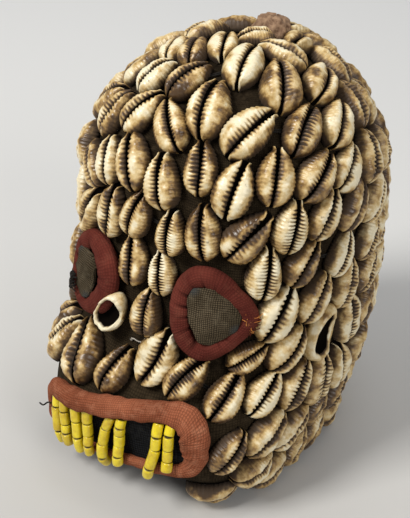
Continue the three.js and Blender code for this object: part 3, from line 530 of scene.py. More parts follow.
def settle(shells):
    # The shells push each other apart until none overlap, and stay close to where they were placed.
    walls, wall_radii = fixed_discs()
    ties = np.array(row_ties(shells))
    keys = ("phi", "v", "lean", "length", "width", "hold", "group")
    phi, v, lean, length, width, hold, groups = [column(shells, key) for key in keys]
    home = phi.copy(), v.copy()
    for turn in range(SETTLE_ROUNDS):
        spot = Spot(phi, v)
        axis = spot.leaning(lean)
        wide = width / (SHELL_SLIMNESS * length)
        along = length[:, None] * DISC_ALONG
        flat = 0 * along
        p, n, side = spot.p[:, None], spot.n[:, None], spot.side[:, None]
        centres = on_cloth(p, n, along, flat, axis[:, None], side, DISC_HEIGHT + flat)
        radii = DISC_RADII * (length * wide)[:, None]
        push = np.zeros((len(shells), 3))
        worst = np.zeros(len(shells))
        # Shell against shell
        i, j = np.nonzero(np.triu(np.linalg.norm(p - spot.p[None], axis=-1) <= SHELL_REACH, 1))
        reach = radii[i][:, :, None] + radii[j][:, None]
        over, way = overlap(centres[i][:, :, None] - centres[j][:, None], reach)
        way = np.sum(way, axis=(1, 2))
        total = hold[i] + hold[j]
        np.add.at(push, i, times(way, hold[j] / total))
        np.add.at(push, j, -times(way, hold[i] / total))
        most = over.max(axis=(1, 2))
        np.maximum.at(worst, i, most)
        np.maximum.at(worst, j, most)
        # Shell against eyes, mouth and lump
        i, w = np.nonzero(np.linalg.norm(p - walls[None], axis=-1) <= SHELL_REACH)
        over, way = overlap(centres[i] - walls[w][:, None], radii[i] + wall_radii[w][:, None])
        np.add.at(push, i, np.sum(way, axis=1))
        np.maximum.at(worst, i, over.max(axis=1))
        # Shell against the floor
        below = np.maximum(radii + LOWEST - centres[..., 2], 0)
        push[:, 2] += below.sum(axis=1)
        worst = np.maximum(worst, below.max(axis=1))
        # Shell against the threads of other rows
        for share in (0.4, 0.6):
            c = centres[ties[:, 0], 1] * (1 - share) + centres[ties[:, 1], 1] * share
            other = groups[None, :] != groups[ties[:, 0]][:, None]
            t, k = np.nonzero(other & (np.linalg.norm(spot.p[None] - c[:, None], axis=-1) <= THREAD_REACH))
            over, way = overlap(centres[k] - c[t][:, None], radii[k] + THREAD_SPACE)
            way = np.sum(way, axis=1)
            np.add.at(push, k, 0.6 * way)
            for end in (0, 1):
                np.add.at(push, ties[t, end], -0.3 * way)
            np.maximum.at(worst, k, over.max(axis=1))
        push *= PUSH_SHARE
        size = np.linalg.norm(push, axis=-1)
        push *= np.where(size > PUSH_LIMIT, PUSH_LIMIT / np.maximum(size, 1e-9), 1)[:, None]
        around = np.maximum(np.linalg.norm(spot.along, axis=-1), 8)
        phi = phi + dot(push, spot.along) / (around * around)
        v = v + dot(push, spot.up) / dot(spot.up, spot.up)
        back = HOME_PULL if turn < SETTLE_ROUNDS - FREE_ROUNDS else 0
        phi = phi + (home[0] - phi) * back
        v = v + (home[1] - v) * back
        if turn >= SHRINK_FROM and turn % SHRINK_EVERY == 0:
            less = np.where(worst > SHRINK_ABOVE, SHRINK, 1)
            length = length * less
            width = width * less
    for i, s in enumerate(shells):
        s.update(phi=phi[i], v=v[i], length=length[i], width=width[i], index=i)
    return shells


def mesh_object(name, points, faces, material, values=None):
    # One object from its points in millimetres, its faces, and numbers kept on its points.
    mesh = bpy.data.meshes.new(name)
    points = np.asarray(points, float)
    mesh.from_pydata((points * MM).tolist(), [], [list(map(int, f)) for f in faces])
    mesh.update()
    mesh.polygons.foreach_set("use_smooth", np.full(len(mesh.polygons), True))
    for key, data in (values or {}).items():
        layer = mesh.attributes.new(key, "FLOAT", "POINT")
        layer.data.foreach_set("value", np.asarray(data, np.float32))
    mesh.materials.append(material)
    obj = bpy.data.objects.new(name, mesh)
    bpy.context.scene.collection.objects.link(obj)
    return obj


def dress(obj, slot, *nodes):
    # A piece rides on the mask's one body and stands for the nodes that it names; the slot is not used.
    if nodes:
        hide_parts(*nodes)
    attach(obj, "root")


def strands(name, lines, radius, material, slot):
    # Thin round threads, each along its own line of points.
    points, faces, start = [], [], 0
    sides = 5
    for line in lines:
        line = np.asarray(line, float)
        along = unit(np.gradient(line, axis=0))
        across = unit(np.cross(along, np.array([0.31, 0.52, 0.8])))
        over = np.cross(along, across)
        turns = circle(sides)[None, :, None]
        ring = line[:, None] + radius * (across[:, None] * np.cos(turns) + over[:, None] * np.sin(turns))
        points.append(ring.reshape(-1, 3))
        faces += grid_faces(len(line), sides, closed_columns=True, start=start)
        start += len(line) * sides
    dress(mesh_object(name, np.concatenate(points), faces, material), slot)


def grid_faces(rows, columns, closed_rows=False, closed_columns=False, start=0):
    # The faces between the points of a grid, which may close on itself either way.
    faces = []
    for i in range(rows if closed_rows else rows - 1):
        low = start + i * columns
        high = start + (i + 1) % rows * columns
        for j in range(columns if closed_columns else columns - 1):
            k = (j + 1) % columns
            faces.append((low + j, low + k, high + k, high + j))
    return faces


def capped_faces(rows, columns, low=False, high=False):
    # A closed ring of columns with a face over its first row, its last row or both.
    faces = grid_faces(rows, columns, closed_columns=True)
    if low:
        faces.append(tuple(range(columns))[::-1])
    if high:
        faces.append(tuple(range((rows - 1) * columns, rows * columns)))
    return faces


# Materials
class Nodes:
    # A small helper that adds shader nodes and joins them.
    def __init__(self, name):
        self.material = bpy.data.materials.new(name)
        self.material.use_nodes = True
        self.tree = self.material.node_tree
        self.tree.nodes.clear()
        self.out = self.add("ShaderNodeOutputMaterial")
        self.bsdf = self.add("ShaderNodeBsdfPrincipled")
        self.link(self.bsdf.outputs[0], self.out.inputs[0])

    def link(self, a, b):
        self.tree.links.new(a, b)

    def add(self, kind, inputs=None, **settings):
        # Numbers and colours are set on the node's inputs, and outputs of other nodes are joined to them.
        node = self.tree.nodes.new(kind)
        for key, value in settings.items():
            setattr(node, key, value)
        self.fill(node, inputs or {})
        return node

    def fill(self, node, inputs):
        for key, x in inputs.items():
            if isinstance(x, (int, float)):
                node.inputs[key].default_value = x
            elif isinstance(x, tuple):
                node.inputs[key].default_value = (*x, 1)
            elif x is not None:
                self.link(x, node.inputs[key])

    def attribute(self, name):
        return self.add("ShaderNodeAttribute", attribute_name=name).outputs["Fac"]

    def math(self, operation, a, b=None):
        return self.add("ShaderNodeMath", {0: a, 1: b}, operation=operation).outputs[0]

    def plus(self, a, x, weight=1.0, middle=0.0):
        # a with x added, which is counted from its middle value and weighted.
        if middle:
            x = self.math("SUBTRACT", x, middle)
        return self.math("ADD", a, self.math("MULTIPLY", x, weight))

    def span(self, x, low, high, out_low=0.0, out_high=1.0):
        values = {0: x, 1: low, 2: high, 3: out_low, 4: out_high}
        return self.add("ShaderNodeMapRange", values).outputs[0]

    def place(self):
        return self.add("ShaderNodeTexCoord").outputs["Object"]

    def noise(self, where, scale, detail=3.0, rough=0.55, w=None):
        values = {"Vector": where, "Scale": scale, "Detail": detail, "Roughness": rough, "W": w}
        kind = "4D" if w is not None else "3D"
        return self.add("ShaderNodeTexNoise", values, noise_dimensions=kind).outputs[0]

    def ramp(self, x, stops):
        node = self.add("ShaderNodeValToRGB", {0: x})
        elements = node.color_ramp.elements
        while len(elements) < len(stops):
            elements.new(0.5)
        for element, (at, colour) in zip(elements, stops):
            element.position = at
            element.color = (*colour, 1)
        return node.outputs[0]

    def mix(self, share, a, b):
        return self.add("ShaderNodeMix", {0: share, 6: a, 7: b}, data_type="RGBA").outputs[2]

    def bump(self, height, strength, distance):
        values = {"Strength": strength, "Distance": distance, "Height": height}
        return self.add("ShaderNodeBump", values).outputs[0]

    def finish(self, colour, rough, normal=None, **constants):
        self.fill(self.bsdf, {"Base Color": colour, "Roughness": rough, "Normal": normal})
        for key, value in constants.items():
            self.bsdf.inputs[key.replace("_", " ")].default_value = value
        return self.material


# The shells' colours from clean to stained; painted shade and painted highlight also move along them
SHELL_TONES = [
    (0.42, (0.78, 0.69, 0.48)),
    (0.57, (0.67, 0.52, 0.275)),
    (0.71, (0.50, 0.335, 0.13)),
    (0.85, (0.25, 0.145, 0.048)),
    (1.0, (0.07, 0.036, 0.013)),
]


def shell_material():
    m = Nodes("cowrie")
    where = m.place()
    tint, dirt_and_shade, crest = [m.attribute(name) for name in ("tint", "dirt_and_shade", "crest")]
    w = m.math("MULTIPLY", tint, 37.0)
    patches = m.noise(where, 170, 3, 0.55, w)
    clouds = m.noise(where, 75, 2, 0.5, w)
    fine = m.noise(where, 900, 3, 0.7, w)
    specks = m.noise(where, 520, 2, 0.5, w)
    stain_and_shade = m.plus(m.math("MULTIPLY", clouds, 0.7), patches, 0.8)
    stain_and_shade = m.plus(stain_and_shade, tint, 0.34, 0.5)
    # Lighter on the lips' crests: partly rubbed wear, partly painted highlight.
    stain_and_shade = m.plus(stain_and_shade, crest, -0.27)
    stain_and_shade = m.plus(stain_and_shade, patches, 0.75, 0.47)
    stain_and_shade = m.plus(stain_and_shade, fine, 0.14, 0.5)
    # Darker in the slit, between the teeth and at each shell's foot: partly soiling, partly painted shade.
    stain_and_shade = m.plus(stain_and_shade, dirt_and_shade, 0.3)
    body = m.ramp(stain_and_shade, SHELL_TONES)
    body = m.mix(m.span(specks, 0.66, 0.78, 0.0, 0.6), body, (0.11, 0.055, 0.018))
    # Dark brown where soiling and painted shade gather, broken up by the patches.
    grime_and_shade = m.plus(dirt_and_shade, patches, 0.9, 0.5)
    colour = m.mix(m.span(grime_and_shade, 0.16, 0.6), body, (0.05, 0.027, 0.011))
    # Near black deep in the slit and the grooves: painted shade.
    colour = m.mix(m.span(dirt_and_shade, 0.6, 0.9), colour, (0.006, 0.0045, 0.0035))
    rough = m.span(grime_and_shade, 0.1, 0.7, 0.33, 0.85)
    return m.finish(colour, rough, m.bump(m.plus(patches, fine, 0.08), 0.4, 0.0013), Specular_IOR_Level=0.5)


def slit_shade_material():
    # Near black and almost without gloss: painted shade inside the slits and the broken hollows.
    return Nodes("slit").finish((0.004, 0.003, 0.0022), 1.0, None, Specular_IOR_Level=0.02)


def weave_height(m, where, per_metre):
    # Plain weave: two sets of threads that pass over and under each other.
    separate = m.add("ShaderNodeSeparateXYZ", {0: where})
    x, y = [m.math("SINE", m.math("MULTIPLY", separate.outputs[k], per_metre * math.pi)) for k in range(2)]
    return m.math("ABSOLUTE", m.math("MULTIPLY", x, y))


# How far, in metres, the threads of the cloth stray from their straight lines
THREAD_DRIFT = (0.0022, 0.0022, 0)
DRIFT_SCALE = 130


def cloth_material(name, dark, light, weave, wear, pits, wear_share=0.35, relief=0.00035):
    # Woven cloth: weave is threads a metre, wear its dusty colour and pits how dark the painted shade
    # between threads is.
    m = Nodes(name)
    where = m.place()
    coords = m.add("ShaderNodeCombineXYZ", {0: m.attribute("weft"), 1: m.attribute("warp")})
    drift = m.add("ShaderNodeTexNoise", {"Vector": where, "Scale": DRIFT_SCALE})
    ends = {0: drift.outputs["Color"], 2: coords.outputs[0]}
    shaken = m.add("ShaderNodeVectorMath", ends, operation="MULTIPLY_ADD")
    shaken.inputs[1].default_value = THREAD_DRIFT
    threads = weave_height(m, shaken.outputs[0], weave)
    clouds = m.noise(where, 60, 4, 0.6)
    fuzz = m.noise(where, 1500, 2, 0.7)
    base = m.mix(m.span(clouds, 0.35, 0.68), dark, light)
    # Darker between the threads: painted shade.
    base = m.mix(m.span(threads, 0.05, 0.6, pits, 0.0), base, tuple(0.16 * c for c in dark))
    dust = m.math("MULTIPLY", m.span(m.noise(where, 210, 4, 0.65), 0.5, 0.75), wear_share)
    base = m.mix(dust, base, wear)
    base = m.mix(m.span(m.attribute("faded"), 0.15, 0.8, 0.0, 0.75), base, (0.046, 0.05, 0.05))
    # Darker in the creases and puckers: painted shade.
    base = m.mix(m.span(m.attribute("crease_shade"), 0.2, 0.95, 0.0, 0.85), base, tuple(0.2 * c for c in dark))
    height = m.plus(m.math("MULTIPLY", threads, 0.8), fuzz, 0.4)
    return m.finish(base, 1.0, m.bump(height, 0.8, relief), Specular_IOR_Level=0.08)


def bead_material():
    m = Nodes("bead")
    where = m.place()
    dirt_and_shade = m.attribute("dirt_and_shade")
    clouds = m.noise(where, 320, 3, 0.6)
    tone = m.plus(clouds, m.attribute("tint"), 0.25)
    base = m.mix(m.span(tone, 0.42, 0.85), (0.80, 0.64, 0.02), (0.55, 0.38, 0.012))
    # Darker at each bead's ends, where the beads meet: painted shade with some soiling.
    base = m.mix(m.span(dirt_and_shade, 0.25, 0.9), base, (0.03, 0.02, 0.008))
    return m.finish(base, m.span(dirt_and_shade, 0.1, 0.8, 0.16, 0.7), m.bump(clouds, 0.15, 0.0004), Coat_Weight=0.3)


def plain_material(name, colour, rough, grain=900, second=None):
    m = Nodes(name)
    where = m.place()
    clouds = m.noise(where, grain, 4, 0.65)
    second = second or tuple(0.55 * c for c in colour)
    base = m.mix(m.span(clouds, 0.35, 0.7), colour, second)
    return m.finish(base, rough, m.bump(clouds, 0.5, 0.0006))


# The way across the floor in which its painted light grows brighter
TOWARDS_BACK = (-0.508, 0.861, 0)


def painted_falloff_floor_material():
    # A plain pale sheet that is a little lighter towards the back: a painted fall of light, darker in
    # front.
    m = Nodes("floor")
    way = m.add("ShaderNodeVectorMath", {0: m.place()}, operation="DOT_PRODUCT")
    way.inputs[1].default_value = TOWARDS_BACK
    tone = m.ramp(
        m.span(way.outputs["Value"], -0.1, 0.8),
        [(0.0, (0.52, 0.51, 0.49)), (0.28, (0.68, 0.675, 0.655)), (0.9, (0.84, 0.838, 0.82))],
    )
    return m.finish(tone, 0.95, None, Specular_IOR_Level=0.1)


SHELL = shell_material()
SLIT_SHADE = slit_shade_material()
# The hood's cloth is dark brown, and its colour is darkened further as painted shade for the gaps between
# the shells.
SHADED_HOOD_CLOTH = cloth_material(
    "hood_cloth", (0.013, 0.0085, 0.0045), (0.046, 0.032, 0.017), weave=900,
    wear=(0.10, 0.07, 0.04), pits=0.5,
)
EYE_FELT = cloth_material(
    "eye_felt", (0.085, 0.017, 0.012), (0.155, 0.036, 0.024), weave=900,
    wear=(0.16, 0.055, 0.035), wear_share=0.4, relief=0.0003, pits=0.25,
)
EYE_CLOTH = cloth_material(
    "eye_cloth", (0.058, 0.043, 0.024), (0.135, 0.102, 0.062), weave=1100,
    wear=(0.19, 0.155, 0.10), relief=0.0005, pits=0.95,
)
MOUTH_FELT = cloth_material(
    "mouth_felt", (0.22, 0.064, 0.03), (0.38, 0.125, 0.062), weave=980,
    wear=(0.47, 0.21, 0.12), wear_share=0.5, relief=0.0004, pits=0.42,
)
MOUTH_CLOTH = cloth_material(
    "mouth_cloth", (0.006, 0.0065, 0.0075), (0.016, 0.017, 0.019), weave=800,
    wear=(0.05, 0.05, 0.048), pits=0.9,
)
BEAD = bead_material()
THREAD = plain_material("thread", (0.012, 0.009, 0.006), 1.0)
PALE_THREAD = plain_material("pale_thread", (0.52, 0.47, 0.40), 0.9)
FRAYED = plain_material("frayed_thread", (0.52, 0.14, 0.025), 0.9, second=(0.62, 0.30, 0.06))


# Shells
SLIT_DEPTH = 3.8
RIM_HEIGHT = 2.2
LIP_CREST = 0.4
# Where the rows of points run across a lip, on the shells that the photograph shows and on the others
LIP_DETAIL = [0, 0.04, 0.1, 0.17, 0.26, 0.37, 0.49, 0.61, 0.73, 0.84, 0.93, 0.98, 1]
LIP_PLAIN = [0, 0.1, 0.22, 0.4, 0.6, 0.8, 0.94, 1]
SEEN_FROM, SEEN_TO = -100, 125
# Strips of faces beside the middle, or from this one on in a broken shell, are near black as painted shade.
SLIT_STRIPS = 2.6
BROKEN_HOLLOW = 9
# Sewing thread
THREAD_RADIUS = 0.36
THREAD_LIFT = 0.75
THREAD_SPACING = 1.6


def cowrie(shell):
    # A cowrie from its slit side: two rounded lips, toothed on both edges of the dark slit between them.
    k = shell["index"]

    def vary(n, low=0.0, high=1.0):
        return low + (high - low) * chance(k + 0.137 * n + 3.1)

    seen = SEEN_FROM * RAD < shell["phi"] < SEEN_TO * RAD
    teeth = 10 + int(vary(1, 0, 3.99))
    body = np.linspace(-0.41, 0.41, (5 if seen else 3) * teeth + 1)
    ends = [0.43, 0.45, 0.467, 0.481, 0.491, 0.497, 0.5] if seen else [0.44, 0.47, 0.49, 0.5]
    u = np.concatenate([[-0.485, -0.497], -np.array(ends)[::-1], body, ends, [0.497, 0.485]])
    drop = np.ones(len(u))
    drop[[0, -1]] = 0.05
    drop[[1, -2]] = 0.5
    length = shell["length"]
    broad = shell["width"] / SHELL_SLIMNESS
    wide = 0.322 * broad
    widest = vary(2, -0.15, -0.05)
    x = np.where(u < widest, (widest - u) / (0.5 + widest), (u - widest) / (0.5 - widest))
    narrow = np.maximum(1 - x ** vary(3, 1.75, 2.1), 0) ** vary(4, 0.6, 0.72)
    outline = np.where(u < widest, (1 - x**2.5) ** 0.56, narrow)
    top = RIM_HEIGHT + (shell["rise"] * 1.03 - RIM_HEIGHT) * (1 - np.minimum(x, 1) ** 2.7 * 0.9) ** 0.55
    open_end = soft_step((u + 0.15) / 0.6)
    slit_half = broad * (vary(5, 0.017, 0.026) + vary(6, 0.012, 0.03) * open_end**1.4)
    slit_half = slit_half + 0.35 * np.exp(-(((0.5 - np.abs(u)) / 0.035) ** 2))
    offset = vary(7, 0.04, 0.2) * (1 if vary(8) > 0.4 else -1)
    bow = vary(9, 0.02, 0.16) * (1 if vary(10) > 0.4 else -1)
    middle = wide * (offset * (1 - 2.6 * u**2) + bow * (np.cos(math.pi * u) - 0.55))
    phase = (u + 0.41) / 0.82 * teeth
    inside = soft_step((0.425 - np.abs(u)) / 0.06)
    angular = vary(11) ** 2
    ribbed = vary(12) ** 2.2
    profile = LIP_DETAIL if seen else LIP_PLAIN
    sides = []
    for sign in (-1, 1):
        n = 20 + 10 * sign
        shoulder = angular * vary(n, 0.3, 1.0)
        at = widest + vary(n + 1, -0.04, 0.08)
        half = wide * (
            outline * (1 + 0.09 * shoulder * np.exp(-(((u - at) / 0.09) ** 2)))
            - 0.05 * shoulder * np.exp(-(((u - at - 0.24) / 0.12) ** 2)) * outline
        )
        lip = np.maximum(half - sign * middle - slit_half, 0.9 * drop + 0.1)
        shift = 0.5 * vary(n + 2)
        ridge = 0.5 + 0.5 * np.cos(2 * math.pi * (phase + shift))
        gap = (1 - ridge) ** 1.3 * inside
        reach = vary(n + 3, 0.13, 0.32) + 0.4 * ribbed
        cut = 0.2 + 0.8 * vary(n + 4) ** 1.3
        lumps = 0.3 * np.sin(2 * math.pi * (vary(n + 5, 1.3, 2.4) * u + vary(n + 6)))
        lumps = lumps + 0.2 * np.sin(2 * math.pi * (4.3 * u + vary(n + 7)))
        edge = slit_half * (1 + 0.28 * (gap - 0.45 * inside)) + 0.22 * gap
        rows = []
        # The rows down into the slit are fully dark: painted shade.
        for share, sink, dark in ((0.45, SLIT_DEPTH, 1.0), (0.92, 0.62 * SLIT_DEPTH, 1.0)):
            rows.append((middle + sign * edge * share, top - sink - 0.3 * gap, dark + 0 * u, 0 * u))
        for t in profile:
            if t < LIP_CREST:
                swell = 1 - 0.2 * ((LIP_CREST - t) / LIP_CREST) ** 2 + 0 * u
            else:
                swell = (1 - ((t - LIP_CREST) / (1 - LIP_CREST)) ** 2.3) ** 0.5 + 0 * u
            near = max(0.0, 1 - t / reach)
            h = RIM_HEIGHT + (top - RIM_HEIGHT) * swell
            h = h - 0.75 * math.exp(-((t / 0.035) ** 2))
            h = h + lumps * math.sin(math.pi * min(1, t * 1.15)) ** 1.5 * (top - RIM_HEIGHT) / 6
            h = h - (0.95 * cut * near**0.8 + 0.16 * ribbed * max(0, 0.85 - t)) * gap
            # How dark the lip is: painted shade at the slit's edge, between the teeth and at the lip's
            # foot, with a real brown wash.
            dark = np.maximum(0.55 * math.exp(-t / 0.05), (0.25 + 0.6 * cut) * gap * near**0.6)
            dark = dark + 0.22 * math.exp(-t / 0.16) + 0.3 * ribbed * gap * max(0, 0.8 - t)
            dark = np.maximum(dark, 0.62 * max(0, (t - 0.8) / 0.2) ** 1.5)
            # The crest is made lighter in the material: partly rubbed wear, partly painted highlight.
            crest = math.exp(-(((t - 0.42) / 0.26) ** 2)) * (1 - gap * near)
            crest = crest * np.clip(1.3 - np.abs(2 * u), 0.2, 1)
            rows.append((middle + sign * (edge + lip * t), h, dark, crest))
        # The foot rows by the cloth are darkened as painted shade.
        for share, h in ((0.95, 0.4 * RIM_HEIGHT), (0.8, 0.1)):
            rows.append((middle + sign * (edge + lip * share), h + 0 * u, 0.75 + 0 * u, 0 * u))
        sides.append(rows)
    # The slit's floor is fully dark: painted shade.
    slit = [(middle, top - SLIT_DEPTH - 0.4, 1.0 + 0 * u, 0 * u)]
    columns = sides[0][::-1] + slit + sides[1]
    h = np.array([c[1] for c in columns])
    h = np.where(drop < 1, np.minimum(h, RIM_HEIGHT * 1.15) * drop, h)
    return (
        np.tile(u * length, (len(columns), 1)),
        np.array([c[0] for c in columns]),
        np.maximum(h, 0.1),
        np.clip(np.array([c[2] for c in columns]), 0, 1),
        np.array([c[3] for c in columns]),
    )


# The layers of a broken shell, from its foot over the lip to its floor: reach, height, soiling and painted
# shade, and raggedness.
BROKEN_LAYERS = [
    (0.9, 0.1, 0.7, 0.0), (0.97, 0.9, 0.6, 0.0), (1.0, 2.3, 0.35, 0.1), (0.985, 4.0, 0.12, 0.2),
    (0.94, 5.6, 0.0, 0.45), (0.88, 6.8, 0.0, 0.8), (0.82, 7.4, 0.0, 1.0), (0.76, 7.3, 0.05, 1.0),
    (0.71, 6.7, 0.25, 0.9), (0.68, 5.6, 0.7, 0.7), (0.67, 4.2, 0.9, 0.5), (0.64, 2.8, 0.97, 0.3),
    (0.52, 1.7, 1.0, 0.1), (0.3, 1.35, 1.0, 0.0), (0.05, 1.3, 1.0, 0.0),
]


def broken_cowrie(shell):
    # A cowrie with its roof gone: a thick ragged lip round a hollow painted dark as shade, low on one side.
    k = shell["index"]
    turn = np.linspace(0, 2 * math.pi, 97)[:-1]
    length = shell["length"]
    broad = shell["width"] / SHELL_SLIMNESS
    a0 = 0.5 * length * np.cos(turn)
    b0 = 0.33 * broad * np.sin(turn) * (1 + 0.14 * np.cos(turn + 2.9))
    ragged = 0.5 * np.sin(4 * turn + k) + 0.35 * np.sin(9 * turn + 1.7 * k)
    ragged = ragged + 0.2 * np.sin(17 * turn + 0.6 * k)
    low = np.exp(-(((turn - 4.9) / 0.8) ** 2))
    rows = []
    for share, h, dirt_and_shade, loose in BROKEN_LAYERS:
        reach = share + 0.035 * loose * ragged
        height = h * (1 - 0.55 * low * min(1, 1.4 * loose)) + 0.45 * loose * ragged
        rows.append((a0 * reach, b0 * reach, height, dirt_and_shade + 0 * a0, 0.8 * loose + 0 * a0))
    return [np.array(x) for x in zip(*rows)]


def fill_gaps(shells):
    # Each shell grows a little, until it meets its neighbours.
    grown = np.ones(len(shells))
    phi, v, lean, length, width = [column(shells, key) for key in ("phi", "v", "lean", "length", "width")]
    spot = Spot(phi, v)
    axis = spot.leaning(lean)
    walls, wall_radii = fixed_discs()
    every = np.arange(len(shells))
    for _ in range(GROWTH_ROUNDS):
        along = DISC_ALONG[None] * (length * grown)[:, None]
        centres = spot.p[:, None] + axis[:, None] * along[..., None]
        radii = DISC_RADII * (width * grown / SHELL_SLIMNESS)[:, None]
        apart = np.linalg.norm(centres[:, None, :, None] - centres[None, :, None], axis=-1)
        over = radii[:, None, :, None] + radii[None, :, None] - apart
        over[every, every] = -9
        worst = over.max(axis=(1, 2, 3))
        wall = radii[:, :, None] + wall_radii - np.linalg.norm(centres[:, :, None] - walls, axis=-1)
        worst = np.maximum(worst, wall.max(axis=(1, 2)))
        grown = np.where((worst < GROWTH_OVERLAP) & (grown < GROWTH_LIMIT), grown * 1.01, grown)
    for s, g in zip(shells, grown):
        s["length"] *= g
        s["width"] *= g
        s["rise"] *= g**0.5


def shell_points(shell, a, b, h):
    # Points in a shell's own frame, moved onto the cloth where the shell is sewn.
    spot = Spot(shell["phi"], shell["v"])
    axis = spot.leaning(shell["lean"])
    wide = np.cross(spot.n, axis)
    return on_cloth(spot.p, spot.n, a, b, axis, wide, h + shell.get("lift", 0))


def thread_between(first, second):
    # Two turns of sewing thread that run low over the cloth from one shell to the next.
    rows, sides = [], 6
    t = np.linspace(0.22, 0.78, 9)
    start = Spot(first["phi"], first["v"])
    end = Spot(second["phi"], second["v"])
    for k in range(2):
        shift = THREAD_SPACING * (k - 0.5)
        p = start.p[None] * (1 - t)[:, None] + end.p[None] * t[:, None]
        n = unit(start.n[None] * (1 - t)[:, None] + end.n[None] * t[:, None])
        for _ in range(2):
            p = p - times(n, clearance(p))
        p = p + times(n, THREAD_LIFT + 0.15 * np.sin(9 * t + k))
        along = unit(np.gradient(p, axis=0))
        across = unit(np.cross(n, along))
        p = p + across * shift + times(across, 0.5 * np.sin(6 * t + shift))
        for i in range(len(t)):
            for c in circle(sides):
                rows.append(p[i] + THREAD_RADIUS * (across[i] * math.cos(c) + n[i] * math.sin(c)))
    return np.array(rows), len(t), sides


def build_shells(shells):
    for name in dict.fromkeys(s["group"] for s in shells):
        broken = name.startswith("broken")
        members = [s for s in shells if s["group"] == name]
        members.sort(key=lambda s: s["order"])
        points, faces, slit_shade_faces = [], [], []
        values = {"dirt_and_shade": [], "crest": [], "tint": []}
        start = 0
        for shell in members:
            a, b, h, dirt_and_shade, crest = broken_cowrie(shell) if broken else cowrie(shell)
            rows, columns = a.shape
            grid = grid_faces(rows, columns, closed_columns=broken, start=start)
            points.append(shell_points(shell, a, b, h).reshape(-1, 3))
            faces += grid
            strip = np.arange(len(grid)) // (columns if broken else columns - 1)
            middle = (rows - 1) / 2 - 0.5
            slit_shade_faces.append(strip >= BROKEN_HOLLOW if broken else np.abs(strip - middle) <= SLIT_STRIPS)
            values["dirt_and_shade"].append(dirt_and_shade.ravel())
            values["crest"].append(crest.ravel())
            values["tint"].append(np.full(rows * columns, chance(shell["index"] + 0.77)))
            start += rows * columns
        values = {key: np.concatenate(parts) for key, parts in values.items()}
        obj = mesh_object(name + "_cowries", np.concatenate(points), faces, SHELL, values)
        obj.data.materials.append(SLIT_SHADE)
        obj.data.polygons.foreach_set("material_index", np.concatenate(slit_shade_faces).astype(np.int32))
        dress(obj, "shell", name)


def build_threads(shells):
    points, faces, start = [], [], 0
    for i, j in row_ties(shells):
        p, rows, columns = thread_between(shells[i], shells[j])
        for k in range(2):
            faces += grid_faces(rows, columns, closed_columns=True, start=start + k * rows * columns)
        points.append(p)
        start += len(p)
    dress(mesh_object("sewing_threads", np.concatenate(points), faces, THREAD), "hood_cloth")


# Hood
WIDEST_HEIGHT = 70.0


def build_hood():
    # A wall of cloth, open below, with slow waves in it.
    columns, rows = 160, 110
    phi = circle(columns)
    heights = np.linspace(0, 0.995 * V_TOP, rows)
    grid_phi, grid_v = np.meshgrid(phi, heights)
    outer = Spot(grid_phi, grid_v)
    wave = 0.25 * np.sin(5 * grid_phi + grid_v / 9) + 0.2 * np.sin(9 * grid_phi - grid_v / 6 + 1.3)
    shell = outer.p - times(outer.n, 0.3 - 0.35 * wave)
    shell[0, :, 2] = 0
    inner = outer.p - times(outer.n, HOOD_WALL - 0.3 * wave)
    inner[0, :, 2] = 0
    points = np.concatenate([inner[::-1].reshape(-1, 3), shell.reshape(-1, 3)])
    count = 2 * rows
    faces = capped_faces(count, columns, low=True, high=True)
    around = run_of(surface(phi, WIDEST_HEIGHT))
    height = np.concatenate([heights[::-1], heights])
    values = {"weft": np.tile(around * MM, count), "warp": np.repeat(height * MM, columns)}
    dress(mesh_object("hood_cloth", points, faces, SHADED_HOOD_CLOTH, values), "hood_cloth", "hood")


# Eyes
FADED_CORNERS = (1, 5)


def stuffed_tube(name, node, slot, material, steps, sides, section):
    # A closed, padded tube. For each step, section gives its middle, the ways out and up, its girth, and a
    # function of the angle round it that gives how far out and up its skin lies there, and its painted
    # crease shade.
    points, crease_shade, weft, warp = [], [], [], []
    length = 0.0
    previous = None
    for i in range(steps):
        centre, away, n, girth, skin = section(i, steps)
        if previous is not None:
            length += float(np.linalg.norm(centre - previous))
        previous = centre
        for c in circle(sides):
            across, up, dark = skin(c)
            points.append(centre + away * across + n * up)
            crease_shade.append(min(1, dark))
            weft.append(length * MM)
            warp.append(girth * c * MM)
    faces = grid_faces(steps, sides, closed_rows=True, closed_columns=True)
    values = {"crease_shade": crease_shade, "weft": weft, "warp": warp}
    tube = mesh_object(name, points, faces, material, values)
    dress(tube, slot, node)


def turned(t, at):
    # The difference of two angles, from minus pi to pi.
    return (t - at + math.pi) % (2 * math.pi) - math.pi


def ring_share(t, corners, tip):
    # The ring's middle line against a plain oval: three soft corners, the one at the side drawn out.
    share = 1.0 + corners * math.cos(3 * t - 0.26)
    share += tip * math.exp(-((turned(t, 0.0) / 0.26) ** 2))
    return share - 0.8 * tip * math.exp(-((turned(t, 0.7) / 0.3) ** 2))


def patch_reach(corners, turns):
    # How far the patch reaches from its middle in each direction.
    corners = np.array(corners)
    middle = corners.mean(axis=0)
    d = corners - middle
    angle = np.arctan2(d[:, 1], d[:, 0])
    order = np.argsort(angle)
    angle, d = angle[order], d[order]
    reach = []
    for t in turns:
        i = np.searchsorted(angle, turned(t, 0.0)) % len(angle)
        p, q = d[i - 1], d[i]
        way = np.array([math.cos(t), math.sin(t)])
        side = q - p
        reach.append((p[0] * side[1] - p[1] * side[0]) / (way[0] * side[1] - way[1] * side[0]))
    reach = np.array(reach)
    for _ in range(2):
        reach = 0.25 * np.roll(reach, 1) + 0.5 * reach + 0.25 * np.roll(reach, -1)
    return middle, reach


